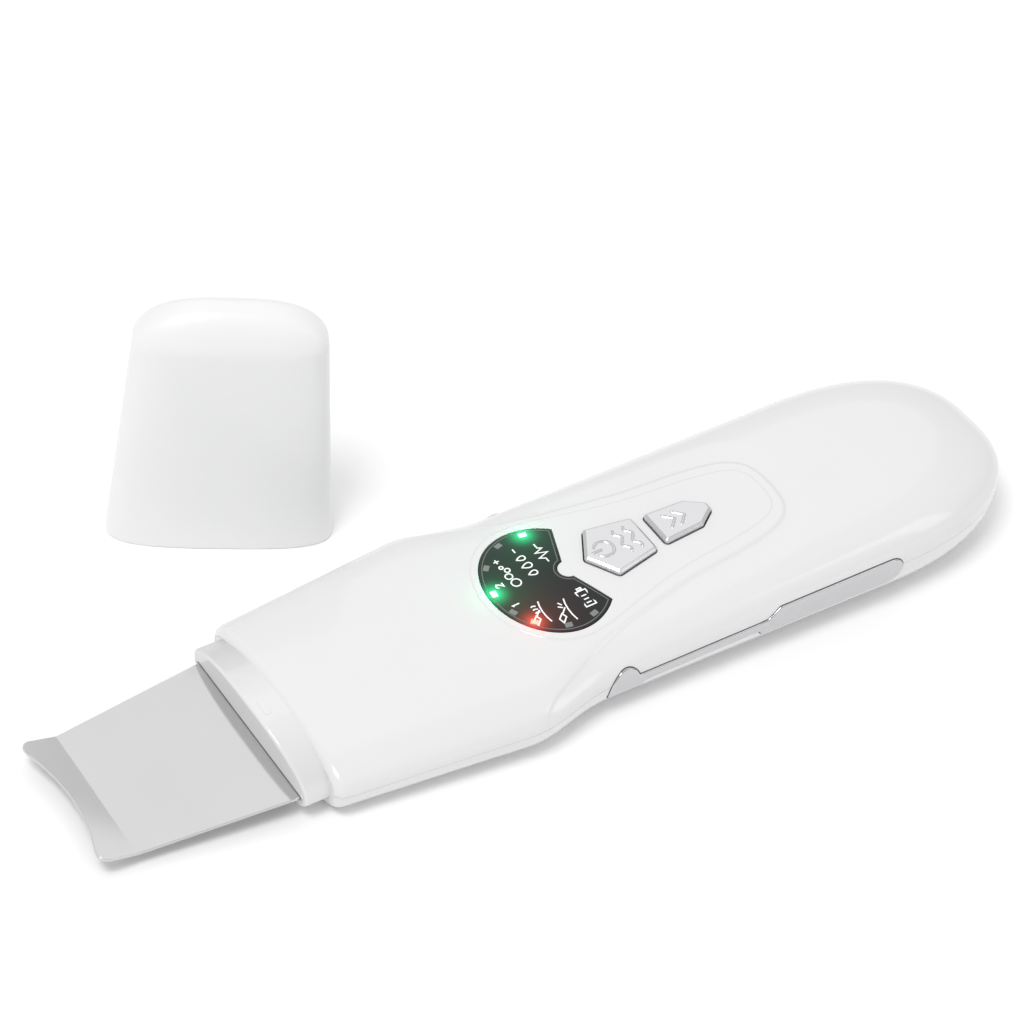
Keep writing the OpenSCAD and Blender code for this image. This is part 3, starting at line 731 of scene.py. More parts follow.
def display_outline(grow, ellipse_steps=90, line_steps=22, notch_steps=22):
    """The display's round outline, cut by a V toward the tail and by a round bite, turning left."""
    a, b, notch = DISPLAY_A + grow, DISPLAY_B + grow, NOTCH_R - grow
    apex = np.array([NOTCH_APEX + grow, 0.0])
    way = unit(np.array(NOTCH_SIDE))
    # where the V meets the ellipse
    qa = (way[0] / a) ** 2 + (way[1] / b) ** 2
    qb = 2 * (apex[0] - DISPLAY_X) * way[0] / a ** 2
    qc = ((apex[0] - DISPLAY_X) / a) ** 2 - 1
    corner = apex + way * (-qb + math.sqrt(qb * qb - 4 * qa * qc)) / (2 * qa)
    # where the V meets the bite
    rel = apex[0] - NOTCH_X
    root = (rel * way[0]) ** 2 - rel ** 2 + notch ** 2
    bite = apex + way * (-rel * way[0] + math.sqrt(root))
    start = math.atan2(corner[1] / b, (corner[0] - DISPLAY_X) / a)
    angles = np.linspace(start, 2 * math.pi - start, ellipse_steps)
    shell = ellipse(a, b, angles) + np.array([DISPLAY_X, 0])
    turn = math.atan2(bite[1], bite[0] - NOTCH_X)
    arc_angles = np.linspace(2 * math.pi - turn, turn, notch_steps)
    arc = ellipse(notch, notch, arc_angles) + np.array([NOTCH_X, 0])
    mirror = np.array([1, -1])
    t = np.linspace(0, 1, line_steps)[1:-1, None]
    lower = mix(corner * mirror, bite * mirror, t)
    upper = mix(bite, corner, t)
    return np.vstack([shell, lower, arc, upper])


def power_outline(grow):
    corners = [(4.7, 0), (8.4, -6.3), (17.8, -4.5), (17.8, 4.5), (8.4, 6.3)]
    return rounded_polygon(corners, 0.75, grow)


def mode_outline(grow):
    corners = [(20.1, 4), (20.1, -4), (28.6, -3.5), (32.2, -0.9), (32.2, 0.9), (28.6, 3.5)]
    return rounded_polygon(corners, 0.7, grow)


def inner_line():
    """Spade-shaped step that rings the display and closes beyond the buttons."""
    half = [(44.2, 0), (44.1, 2.4), (43.7, 4.4), (42.4, 6.0), (40.3, 7.1), (36, 8.1), (31, 8.8), (23, 9.5),
            (16, 10.6), (11, 11.9), (6, 13.2), (1.5, 14.4), (-2.5, 15.0)]
    ring = [(DISPLAY_X + (DISPLAY_A + 1.5) * math.cos(t), (DISPLAY_B + 1.7) * math.sin(t))
            for t in np.radians(np.arange(100, 181, 8))]
    return mirrored_loop(half + ring, 260, 6)


def outer_line():
    """Edge of the raised head and panel, which flares out to the shoulders."""
    half = [(46.3, 0), (46.2, 3.2), (45.6, 6.0), (44.0, 8.2), (41, 9.7), (36.5, 10.8), (31, 11.5), (21, 12.2),
            (12, 13.9), (4, 15.5), (-2, 17.2), (-6.2, 18.9), (-11, 21.0), (-16.5, 23.6), (-21, 27), (-26, 34)]
    return mirrored_loop(half + [(-40, 42), (-80, 42)], 420, 8)


def mirrored_loop(half, count, passes):
    """A closed loop from its +Y half, which starts and ends on the middle line, turning left."""
    p = np.array(half, float)
    other = p[::-1] * np.array([1, -1])
    keep = [q for q in other if abs(q[1]) > 1e-6]
    return smooth_loop(even(np.vstack([p, keep]), count, closed=True), passes)


def allowed_runs(points, good):
    """The stretches of a closed loop whose points are all good, as open lines."""
    if good.all():
        return [np.vstack([points, points[:1]])]
    first = int(np.argmin(good))
    points, good = np.roll(points, -first, 0), np.roll(good, -first)
    runs = np.split(points, np.flatnonzero(good[1:] != good[:-1]) + 1)
    return [run for run in runs[1::2] if len(run) > 2]


def parallel_lines(loop, offsets, keep):
    """Copies of a loop moved by each offset, cut to the points that keep allows, as open lines."""
    copies = [grown(loop, offset) for offset in offsets]
    return [run for p in copies for run in allowed_runs(p, keep(p))]


# ---- case

upper_skin = CaseSkin(upper=True)
lower_skin = CaseSkin(upper=False)


def panel_relief(points):
    """Height of the upper case over its plain curve: the panel's step and the soft crease round it."""
    p = np.array(points, float)
    inner_gap = signed_distance(p, INNER_UV)
    outer_gap = signed_distance(p, OUTER_UV)
    height = PANEL_RISE * (1 - ease((inner_gap + PANEL_RAMP) / (2 * PANEL_RAMP)))
    drop = ease((outer_gap + CREASE_RAMP) / (2 * CREASE_RAMP)) * (1 - ease(outer_gap / CREASE_FADE))
    side = ease((upper_skin.reach(p[:, 0]) - abs(p[:, 1])) / 5)
    return height - CREASE_DROP * drop * side


def to_uv(loop):
    """Plan loop to (u, v) of the upper case; what lies past the sides goes on outward."""
    p = np.array(loop, float)
    u = upper_skin.along(p[:, 0])
    wide, _, _ = upper_skin.sizes(clamp(u, upper_skin.FRONT_U, upper_skin.TAIL_U))
    over = np.maximum(abs(p[:, 1]) - wide * 0.96, 0)
    held = np.stack([p[:, 0], np.sign(p[:, 1]) * (abs(p[:, 1]) - over)], 1)
    uv = upper_skin.from_plan(held)
    uv[:, 1] += np.sign(p[:, 1]) * over * 3
    uv[:, 0] = u
    return uv


INNER_UV = to_uv(inner_line())
OUTER_UV = to_uv(outer_line())


def on_sheet(points):
    """True where a point of the upper case's plane is well inside its border."""
    margin = 0.9
    near = (points[:, 0] > upper_skin.FRONT_U + margin) & (points[:, 0] < upper_skin.TAIL_U - 3)
    return near & (abs(points[:, 1]) < upper_skin.reach(points[:, 0]) - margin)


def front_lines(skin):
    """Lines across the rounded front edge, so that its curve has enough steps."""
    lines = []
    for u in (0.45, 0.95, 1.45, 1.95, 2.45):
        at = skin.FRONT_U + u
        reach = float(skin.reach(at)) - 0.7
        lines.append(np.stack([np.full(50, at), np.linspace(reach, -reach, 50)], 1))
    return lines


def make_upper_shell():
    def plan(outline):
        return lambda grow: upper_skin.from_plan(outline(grow))

    edge = rounded_edge(SEAM_ROUND, 2.2)
    holes = [(plan(lambda g: display_outline(g + SEAM_ROUND)), edge),
             (plan(lambda g: power_outline(g + BUTTON_GAP)), edge),
             (plan(lambda g: mode_outline(g + BUTTON_GAP)), edge)]
    lines = front_lines(upper_skin)
    lines += parallel_lines(INNER_UV, (-PANEL_RAMP, 0, PANEL_RAMP), on_sheet)
    lines += parallel_lines(OUTER_UV, (-CREASE_RAMP, 0, CREASE_RAMP), on_sheet)
    rim = (upper_skin.rim, rounded_edge(SEAM_ROUND, SHELL_T, 3))
    return skin_solid("upper_shell", upper_skin, rim, holes, lines, 0.9, panel_relief)


def screw_hole(centre):
    def outline(grow):
        r = SCREW_HOLE_R + grow
        ring = ellipse(r, r, np.linspace(0, 2 * np.pi, 40)[:-1])
        return lower_skin.from_plan(ring + np.array(centre))[::-1]
    return outline


def port_outline(grow):
    """The charging port's mouth in the tail, as a loop on the lower half."""
    wide, high = PORT_HALF + grow, PORT_HIGH + grow
    loop = rounded_slot(wide, high, 48)
    y, z = loop[:, 0], loop[:, 1] + PORT_Z
    x = np.full(len(y), TAIL_END - 2.0)
    for _ in range(12):
        w = half_width(x)
        h = split_z(x) + FLOOR_TRIM
        close = ((abs(y) / w) ** BODY_POWER + (abs(z - split_z(x)) / h) ** BODY_POWER) ** (1 / BODY_POWER)
        x = TAIL_START + TAIL_LEN * (1 - close ** TAIL_POWER) ** (1 / TAIL_POWER)
    u = lower_skin.along(x)
    share = abs(y) / lower_skin.sizes(u)[0]
    uv = lower_skin.round_from(u, np.sign(y), share)
    return uv[::-1] if loop_area(uv) < 0 else uv


def loop_area(p):
    x, y = p[:, 0], p[:, 1]
    return float((x * np.roll(y, -1) - np.roll(x, -1) * y).sum() / 2)


def rounded_slot(wide, high, count):
    """A slot with round ends, turning left, of the given half sizes."""
    t = np.linspace(0, 2 * np.pi, count, endpoint=False)
    return np.stack([np.sign(np.cos(t)) * (wide - high) + high * np.cos(t), high * np.sin(t)], 1)


def make_lower_shell():
    holes = [(screw_hole(c), rounded_edge(0.15, 2.4, 3)) for c in SCREWS]
    holes.append((port_outline, rounded_edge(0.15, SHELL_T, 3)))
    rim = (lower_skin.rim, rounded_edge(SEAM_ROUND, SHELL_T, 3))
    return skin_solid("lower_shell", lower_skin, rim, holes, front_lines(lower_skin), 1.3)


def make_front_wall():
    """The head's flat front behind the collar, which closes the case there."""
    x = 0.1 - HEAD_FRONT
    inset = FRONT_ROUND * (1 - math.cos(FRONT_ARC))
    face = Plane((x, 0, split_z(x)), (0, -1, 0), (0, 0, 1))

    def outline(grow):
        p = superellipse(HEAD_HALF - inset + grow, 1.0, BODY_POWER, 160)
        tall = np.where(p[:, 1] > 0, crown(x) - split_z(x), split_z(x) + FLOOR_TRIM) - inset + grow
        p[:, 1] = np.maximum(p[:, 1] * tall, 0.1 - split_z(x) - grow)
        return p

    return skin_solid("head_front_wall", face, (outline, rounded_edge(0.1, 1.2, 2)), spacing=1.5)


# ---- collar and blade

def split_axes():
    tilt = math.atan(CROWN_SLOPE / 2)
    ahead = np.array([math.cos(tilt), 0, math.sin(tilt)])
    up = np.array([-math.sin(tilt), 0, math.cos(tilt)])
    return ahead, up


def make_collar():
    _, up = split_axes()
    origin = np.array([-COLLAR_FRONT, 0, split_z(-COLLAR_FRONT)])
    face = Plane(origin, (0, -1, 0), up)
    middle = DRIVE_Z - origin[2]

    def outer(grow):
        return superellipse(COLLAR_HALF + grow, COLLAR_HIGH + grow, COLLAR_POWER, 200)

    def slot(grow):
        wide, high = BLADE_MOUTH_HALF + SLOT_SIDE_GAP + grow, SLOT_HIGH - SLOT_ROUND + grow
        return rounded_slot(wide, high, 64) + np.array([0, middle])

    rim = (outer, rounded_edge(COLLAR_ROUND, COLLAR_LEN + COLLAR_TUCK, 8))
    hole = (slot, rounded_edge(SLOT_ROUND, COLLAR_LEN + COLLAR_TUCK, 4))
    return skin_solid("collar_ring", face, rim, [hole], spacing=0.9)


def make_collar_mark():
    """The small moulded tab on top of the collar."""
    ahead, _ = split_axes()
    x, y = COLLAR_MARK_AT
    top = Plane((x, y, split_z(x) + COLLAR_HIGH), ahead, (0, 1, 0))
    corners = rectangle(0.6, 1.9)
    rim = (lambda g: rounded_polygon(corners, 0.45, g, 6, 6), rounded_edge(COLLAR_MARK_RISE, 0.12, 3))
    return skin_solid("collar_mark", Raised(top, COLLAR_MARK_RISE), rim, spacing=0.4)


def blade_outline(grow):
    """Plan of the blade in its own unbent plane, from inside the collar to the hollow tip edge."""
    reach = BLADE_FLAT + TIP_LEN

    def half(x):
        return mix(BLADE_MOUTH_HALF, BLADE_BEND_HALF, x / BLADE_FLAT)

    side_x = np.linspace(-BLADE_TONGUE, BLADE_FLAT, 40)
    side = [(x - (grow if k == 0 else 0), half(x) + grow) for k, x in enumerate(side_x)]
    bend = np.linspace(BLADE_FLAT, reach - TIP_CORNER, 8)[1:]
    flare = [(x, mix(BLADE_BEND_HALF, TIP_HALF, (x - BLADE_FLAT) / TIP_LEN) + grow) for x in bend[:-1]]
    centre = np.array([reach - TIP_CORNER, TIP_HALF - TIP_CORNER])
    corner = [tuple(centre + (TIP_CORNER + grow) * np.array([math.cos(a), math.sin(a)]))
              for a in np.radians(np.linspace(90, 12, 9))]
    radius = (TIP_HOLLOW_HALF ** 2 + TIP_HOLLOW ** 2) / (2 * TIP_HOLLOW)
    arc_centre = reach - TIP_HOLLOW + radius
    ys = np.linspace(TIP_HOLLOW_HALF - 0.4, 0, 22)
    hollow = [(arc_centre - math.sqrt((radius - grow) ** 2 - y * y), y) for y in ys]
    half_loop = side + flare + corner + hollow
    other = [(x, -y) for x, y in half_loop[::-1] if abs(y) > 1e-9]
    loop = np.array(half_loop + other)
    return loop[::-1] if loop_area(loop) < 0 else loop


def make_blade():
    lines = []
    start = BLADE_FLAT - BEND_R * math.tan(TIP_ANGLE / 2)
    for share in np.linspace(0, 1, 6):
        x = start + share * BEND_R * TIP_ANGLE
        half = BLADE_BEND_HALF - 0.35
        lines.append(np.stack([np.full(60, x), np.linspace(-half, half, 60)], 1))
    rim = (blade_outline, rounded_edge(0.1, BLADE_T - 0.1, 3))
    return skin_solid("scraper_blade", BladeSkin(), rim, lines=lines)


# ---- display

class PlanSkin:
    """The upper case's surface for points given as X and Y."""

    def __init__(self, height=0.0):
        self.height = height

    def place(self, points, lift=0.0):
        return upper_skin.place(upper_skin.from_plan(points), np.asarray(lift) + self.height)


def make_display():
    rim = (display_outline, rounded_edge(0.12, 1.2, 3))
    return skin_solid("display_window_glass", PlanSkin(DISPLAY_TOP), rim, spacing=0.8)


def make_display_border():
    rim = (lambda g: display_outline(g - 0.5), square_edge(0.03))
    hole = (lambda g: display_outline(g - 0.66), square_edge(0.03))
    return skin_solid("display_border_line", PlanSkin(DISPLAY_TOP + 0.012), rim, [hole], spacing=2.0)


def led_place(name):
    a = math.radians(LED_ANGLES[name])
    return np.array([DISPLAY_X - LED_A * math.cos(a), LED_B * math.sin(a)])


def make_led_window(name):
    """A small clear window at the edge of the display, turned to face its middle."""
    centre = led_place(name)
    out = unit(centre - np.array([DISPLAY_X, 0]))
    across = np.array([-out[1], out[0]])
    corners = [centre + a * out + b * across for a, b in rectangle(0.55, 0.75)]
    rim = (lambda g: rounded_polygon(corners, 0.15, g, 4, 4), square_edge(0.03, 0.04))
    return skin_solid("led_window_" + name, PlanSkin(DISPLAY_TOP + 0.014), rim, spacing=0.5)


def drawn_at(x, y, strokes, size=1.0):
    """Strokes in reading axes (right, up) put on the display, which reads along +Y with -X up."""
    placed = []
    for points, closed in strokes:
        p = np.array(points, float) * size
        placed.append((np.stack([x - p[:, 1], y + p[:, 0]], 1), closed))
    return placed


def circle_stroke(cx, cy, r, count=24):
    return ellipse(r, r, np.linspace(0, 2 * np.pi, count, endpoint=False)) + np.array([cx, cy]), True


def drop_stroke(cx, size):
    turns = np.linspace(0.15, 2 * math.pi - 0.15, 26)
    curve = [(cx + 0.75 * size * math.sin(t) * math.sin(t / 2) ** 1.2, 0.9 * size * math.cos(t))
             for t in turns]
    return curve, True


def tool_strokes():
    """A small scraper over a line of skin."""
    skin_line = [(-2.6, -1.1), (-1.2, -0.85), (0.2, -0.85), (1.6, -1.05), (2.7, -1.4)]
    tool = [(-2.2, 1.5), (-1.2, 0.4), (-0.2, 0.75), (-1.1, 1.8)]
    return [(skin_line, False), (tool, True), ([(-0.3, 0.65), (0.8, -0.55)], False)]


def battery_strokes():
    strokes = [([(-1.9, -1.0), (1.7, -1.0), (1.7, 1.0), (-1.9, 1.0)], True),
               ([(1.95, -0.4), (2.35, -0.4), (2.35, 0.4), (1.95, 0.4)], True)]
    return strokes + [([(x, -0.5), (x, 0.5)], False) for x in (-1.15, -0.3, 0.55)]


def icon_strokes():
    """Generic symbols: a pulse, drops, bubbles, two levels, two tools and a battery."""
    minus = [([(-0.55, 0), (0.55, 0)], False)]
    plus = minus + [([(0, -0.55), (0, 0.55)], False)]
    pulse = [([(-2.6, 0), (-1.6, 0), (-1.05, 1.05), (-0.35, -1.1), (0.4, 1.05), (1.0, -0.7), (1.4, 0),
               (2.6, 0)], False)]
    drops = [drop_stroke(-2.1, 1.0), drop_stroke(0.0, 1.15), drop_stroke(2.1, 1.0)]
    bubbles = [circle_stroke(-2.3, -0.1, 1.0), circle_stroke(-0.2, 0.3, 0.75, 20),
               circle_stroke(1.4, -0.35, 0.55, 16), circle_stroke(2.6, 0.35, 0.4, 14)]
    two = [([(-0.45, 0.35), (-0.3, 0.65), (0, 0.75), (0.32, 0.62), (0.42, 0.32), (0.25, 0), (-0.48, -0.72),
             (0.48, -0.72)], False)]
    one = [([(-0.25, 0.5), (0.08, 0.75), (0.08, -0.72)], False)]
    waves = [([(x, -0.45), (x + 0.25, 0.1), (x + 0.1, 0.5)], False) for x in (0.3, 1.1, 1.9)]
    spray = [([(0.9, -0.2), (1.5, 0.55)], False), ([(1.5, -0.35), (2.3, 0.1)], False)]
    strokes = drawn_at(-0.9, 5.8, pulse)
    strokes += drawn_at(-5.0, 4.3, drops) + drawn_at(-5.0, 8.7, minus)
    strokes += drawn_at(-9.0, 3.8, bubbles, 0.92) + drawn_at(-9.3, 7.9, plus)
    strokes += drawn_at(-12.0, 2.5, two, 0.95) + drawn_at(-11.9, -3.0, one, 0.95)
    strokes += drawn_at(-9.5, -6.9, tool_strokes() + waves)
    strokes += drawn_at(-5.1, -8.6, tool_strokes() + spray)
    return strokes + drawn_at(0.0, -7.6, battery_strokes(), 1.05)


def make_icons():
    return ribbon("display_symbols", PlanSkin(DISPLAY_TOP), icon_strokes(), 0.27, 0.014)


# ---- buttons

def raised_strokes(strokes):
    """Relief of soft raised strokes."""
    def relief(points):
        p = np.array(points, float)
        gap = np.full(len(p), 1e9)
        for path, closed in strokes:
            near = np.linalg.norm(p - np.mean(path, 0), axis=1) < 6
            if near.any():
                gap[near] = np.minimum(gap[near], segments_distance(p[near], path, closed))
        return SYMBOL_HEIGHT * (1 - ease(gap / SYMBOL_HALF))
    return relief


def power_strokes():
    """A ring open toward the display with a bar in its gap, and two waves behind it."""
    ring = ellipse(1.9, 1.9, np.radians(np.linspace(215, 505, 40))) + np.array([8.9, 0])
    bar = np.array([(6.5, 0), (8.3, 0)])
    y = np.linspace(-2.9, 2.9, 40)
    waves = [np.stack([x + 0.5 * np.sin(y * 2.0), y], 1) for x in (12.9, 15.2)]
    return [(path, False) for path in (ring, bar, *waves)]


def mode_strokes():
    """Two nested arrow heads that point to the tail."""
    return [(np.array([(x, 1.7), (x + 1.7, 0), (x, -1.7)]), False) for x in (22.8, 25.0)]


def make_button(name, outline, strokes):
    rim = (outline, chamfered_edge(0.55, 0.38, 0.1, 2.6))
    return skin_solid(name, PlanSkin(BUTTON_PROUD), rim, spacing=0.26, relief=raised_strokes(strokes))


# ---- side electrodes

def electrode_loop(grow):
    """Outline of the chrome strip as X and height above the split line, turning left."""
    low, bar_low, wide_low, bar_top, wide_top = -2.85, -1.8, -3.1, 0.32, 2.4
    lobe_x, lobe_half, lobe_high = -0.1, 3.6, 5.85
    end_x, end_z, end_half, end_high = 59.5, -0.48, 3.1, 2.88
    lobe_turns, end_turns = np.radians(np.arange(34, 181, 5)), np.radians(np.arange(-90, 91, 6))
    lobe = [(lobe_x + lobe_half * math.cos(t), low + lobe_high * math.sin(t)) for t in lobe_turns]
    path = [(end_x + end_half * math.cos(t), end_z + end_high * math.sin(t)) for t in end_turns]
    path += [(50, wide_top), (40, wide_top), (33.9, wide_top), (31.4, 0.45), (29.5, bar_top), (12, bar_top)]
    path += lobe + [(3.2, low), (4.4, bar_low), (20, bar_low), (29.6, bar_low), (30.6, wide_low)]
    path += [(40, wide_low)]
    loop = smooth_loop(even(path, 640, closed=True), 2)
    return grown(loop, grow)


def side_skin(side, lift):
    return Raised(SideSkin(upper_skin, lower_skin, side), lift)


def make_strip(word, side):
    rim = (electrode_loop, rounded_edge(STRIP_PROUD, STRIP_DEPTH, 5))
    return skin_solid("electrode_strip_" + word, side_skin(side, STRIP_PROUD), rim, spacing=0.9)


def make_strip_painted_shadow(word, side):
    """A dark sheet just over the case, a little wider than the strip: painted shadow that stands for the
    shaded gap round it.
    """
    rim = (lambda g: electrode_loop(g + STRIP_SHADOW_REACH), square_edge(0.1))
    return skin_solid("electrode_painted_shadow_" + word, side_skin(side, 0.015), rim, spacing=0.9)


# ---- charging port

def make_port():
    face = Plane((PORT_MOUTH_X, 0, PORT_Z), (0, 1, 0), (0, 0, 1))
    rim = (lambda g: rounded_slot(4.5 + g, 1.65 + g, 48), rounded_edge(0.12, PORT_DEPTH, 3))
    hole = (lambda g: rounded_slot(4.2 + g, 1.35 + g, 48), rounded_edge(0.1, PORT_DEPTH, 3))
    return skin_solid("port_shell", face, rim, [hole])


def make_port_tongue():
    face = Plane((PORT_TONGUE_X, 0, PORT_Z), (0, 1, 0), (0, 0, 1))
    corners = rectangle(3.3, 0.35)
    rim = (lambda g: rounded_polygon(corners, 0.2, g, 8, 4), rounded_edge(0.1, 5.2, 2))
    return skin_solid("port_tongue", face, rim, spacing=0.5)


# ---- cap

def cap_ring(z, inset, top):
    """One outline of the cap at height z, moved inward, where the inside or outside ends at top."""
    rise = float(clamp((z - (top - CAP_ROUND)) / CAP_ROUND, 0, 0.9995))
    half = (CAP_MOUTH_HALF - inset - CAP_TAPER[0] * z) * (1 - rise ** CAP_ARCH) ** (1 / CAP_ARCH)
    deep = (CAP_MOUTH_HIGH - inset - CAP_TAPER[1] * z) * math.sqrt(1 - rise ** 2)
    p = superellipse(half, deep, CAP_POWER, CAP_COUNT)
    return np.stack([p[:, 0], p[:, 1], np.full(CAP_COUNT, z)], 1)


def make_cap():
    lip = 0.3
    dome = np.sin(np.radians(np.linspace(4, 90, 26)))
    shoulder = CAP_HEIGHT - CAP_ROUND
    lip_path = [(lip * (1 - math.cos(t)), lip * (1 - math.sin(t))) for t in np.radians((0, 22, 45, 67, 90))]
    outside = np.concatenate([np.linspace(lip + 0.5, shoulder, 26), shoulder + CAP_ROUND * dome])
    wall = [cap_ring(z, inset, CAP_HEIGHT) for z, inset in lip_path]
    wall += [cap_ring(z, 0, CAP_HEIGHT) for z in outside]
    inner_top = CAP_HEIGHT - CAP_WALL
    inner_shoulder = inner_top - CAP_ROUND
    inside_z = np.concatenate([np.linspace(0.25, inner_shoulder, 14), inner_shoulder + CAP_ROUND * dome[:-1]])
    hollow = [cap_ring(z, CAP_WALL, inner_top) for z in inside_z]
    lip_in = [cap_ring(0.0, CAP_WALL - 0.2, CAP_HEIGHT), cap_ring(0.08, CAP_WALL - 0.06, CAP_HEIGHT)]
    rings = hollow[::-1] + lip_in[::-1] + wall
    c, s = math.cos(CAP_TURN), math.sin(CAP_TURN)
    turn = np.array([[c, s, 0], [-s, c, 0], [0, 0, 1]])
    place = np.array([CAP_PLACE[0], CAP_PLACE[1], 0])
    return loft("cap_shell", [ring @ turn + place for ring in rings], sharp=50)


# ---- materials

def set_inputs(node, **values):
    """Sets a node's inputs by name. An underscore in a name stands for a space."""
    for name, value in values.items():
        node.inputs[name.replace("_", " ")].default_value = value


def add_node(made, kind, **values):
    node = made.node_tree.nodes.new("ShaderNode" + kind)
    set_inputs(node, **values)
    return node


def principled(made):
    return made.node_tree.nodes["Principled BSDF"]


def toned(colour, factor):
    return (*[min(c * factor, 1) for c in colour], 1)


def surface(name, colour, roughness, metallic=0.0, grain=2500.0, bump=0.01, spread=0.04, vary=0.015,
            stretch=(1.0, 1.0, 1.0), coat=0.0):
    """A material with fine grain in its normal, its roughness and, very slightly, its colour."""
    made = bpy.data.materials.new(name)
    made.use_nodes = True
    shader = principled(made)
    set_inputs(shader, Metallic=metallic, Coat_Weight=coat, Coat_Roughness=0.04)
    where = add_node(made, "TexCoord")
    mapping = add_node(made, "Mapping", Scale=stretch)
    fine = add_node(made, "TexNoise", Scale=grain, Detail=3.0)
    wide = add_node(made, "TexNoise", Scale=grain / 40, Detail=4.0)
    gloss = add_node(made, "MapRange", To_Min=max(roughness - spread, 0.01), To_Max=roughness + spread)
    tone = add_node(made, "Mix")
    tone.data_type = "RGBA"
    set_inputs(tone, A=toned(colour, 1 - vary), B=toned(colour, 1 + vary))
    relief = add_node(made, "Bump", Strength=bump, Distance=0.0002)
    link = made.node_tree.links.new
    link(where.outputs["Object"], mapping.inputs["Vector"])
    link(mapping.outputs["Vector"], fine.inputs["Vector"])
    link(where.outputs["Object"], wide.inputs["Vector"])
    link(wide.outputs["Fac"], gloss.inputs["Value"])
    link(gloss.outputs["Result"], shader.inputs["Roughness"])
    link(wide.outputs["Fac"], tone.inputs["Factor"])
    link(tone.outputs["Result"], shader.inputs["Base Color"])
    link(fine.outputs["Fac"], relief.inputs["Height"])
    link(relief.outputs["Normal"], shader.inputs["Normal"])
    return made


def glowing(name, colour, strength):
    made = surface(name, colour, 0.3, bump=0.02)
    set_inputs(principled(made), Emission_Color=(*colour, 1), Emission_Strength=strength)
    return made


WHITE = (0.75, 0.75, 0.752)
CAP_WHITE = (0.82, 0.82, 0.822)
STEEL = (0.63, 0.63, 0.635)
CHROME = (0.57, 0.57, 0.585)
SILVER = (0.70, 0.70, 0.715)
GLASS = (0.010, 0.013, 0.013)
GLOW_COLOURS = {"green": (0.02, 1.0, 0.35), "red": (1.0, 0.08, 0.04)}
GLOW_FALL = 3.0
GLOW_SPREADS = ((0.0046, 1.5), (0.017, 0.10))
LED_POWER = {"green": 0.00045, "red": 0.00018}
SYMBOL = (0.80, 0.83, 0.82)


def shell_white():
    return surface("glossy_white_plastic", WHITE, 0.16, grain=1800, bump=0.012, spread=0.03, coat=0.35)


def cap_white():
    return surface("satin_white_plastic", CAP_WHITE, 0.3, grain=2600, bump=0.03, spread=0.04, coat=0.1)


def blade_steel():
    return surface("brushed_steel", STEEL, 0.11, 1.0, grain=2600, bump=0.012, spread=0.03, vary=0.03,
                   stretch=(0.06, 1.0, 0.06))


def chrome():
    return surface("chrome_plate", CHROME, 0.11, 1.0, grain=1500, bump=0.01, spread=0.02)


def silver_paint():
    return surface("silver_plated_button", SILVER, 0.2, 0.9, grain=1800, bump=0.004, spread=0.03)


def vector_math(made, operation):
    node = add_node(made, "VectorMath")
    node.operation = operation
    return node


def glow_round(made, where, centre, colour, radius, strength):
    """Colour that fades with the distance from a point of the object, as light spreading in the glass."""
    gap = vector_math(made, "DISTANCE")
    gap.inputs[1].default_value = centre
    near = add_node(made, "MapRange", From_Max=radius, To_Min=1.0, To_Max=0.0)
    fall = add_node(made, "Math")
    fall.operation = "POWER"
    fall.inputs[1].default_value = GLOW_FALL
    tint = vector_math(made, "SCALE")
    tint.inputs[0].default_value = [c * strength for c in colour]
    link = made.node_tree.links.new
    link(where.outputs["Object"], gap.inputs[0])
    link(gap.outputs["Value"], near.inputs["Value"])
    link(near.outputs["Result"], fall.inputs[0])
    link(fall.outputs["Value"], tint.inputs["Scale"])
    return tint.outputs["Vector"]


def smoked_glass():
    """Dark window with the lit LEDs glowing into it."""
    made = surface("smoked_display_window", GLASS, 0.08, grain=1500, bump=0.004, spread=0.02)
    set_inputs(principled(made), Specular_IOR_Level=0.32, Emission_Strength=1.0)
    link = made.node_tree.links.new
    where = next(n for n in made.node_tree.nodes if n.type == "TEX_COORD")
    glows = [glow_round(made, where, led_point(name), GLOW_COLOURS[kind], radius, strength)
             for name, kind in LIT.items() for radius, strength in GLOW_SPREADS]
    total = glows[0]
    for glow in glows[1:]:
        both = vector_math(made, "ADD")
        link(total, both.inputs[0])
        link(glow, both.inputs[1])
        total = both.outputs["Vector"]
    link(total, principled(made).inputs["Emission Color"])
    return made


def led_point(name):
    """Where a LED's window lies, in metres."""
    at, _ = PlanSkin(PANEL_RISE).place(led_place(name))
    return tuple(float(v) * MM for v in at[0])


NODE_FINISHES = {
    "soft_silicone": (("blade_seal", "isolator_rings", "battery_pad"), (0.09, 0.09, 0.095), 0.6, 0.0),
    "turned_aluminium": (("horn", "back_mass"), (0.70, 0.71, 0.72), 0.28, 1.0),
    "fired_ceramic": (("piezo_rings",), (0.42, 0.40, 0.35), 0.55, 0.0),
    "bare_copper": (("electrode_tabs", "contact_springs"), (0.78, 0.45, 0.25), 0.3, 1.0),
    "bolt_steel": (("clamp_bolt", "case_screws"), (0.42, 0.42, 0.44), 0.32, 1.0),
    "frosted_guide": (("light_guide",), (0.72, 0.73, 0.74), 0.45, 0.0),
    "led_resin": (("leds",), (0.80, 0.79, 0.66), 0.35, 0.0),
    "green_board": (("main_board", "charging_board"), (0.02, 0.16, 0.07), 0.4, 0.0),
    "black_plastic": (("tact_switches", "control_chip"), (0.03, 0.03, 0.032), 0.45, 0.0),
    "battery_wrap": (("battery",), (0.10, 0.23, 0.42), 0.35, 0.0),
    "red_wire": (("battery_leads",), (0.50, 0.03, 0.03), 0.45, 0.0),
    "white_wire": (("transducer_leads",), (0.75, 0.74, 0.70), 0.45, 0.0),
    "ferrite": (("driver_coil",), (0.06, 0.055, 0.055), 0.65, 0.0),
}


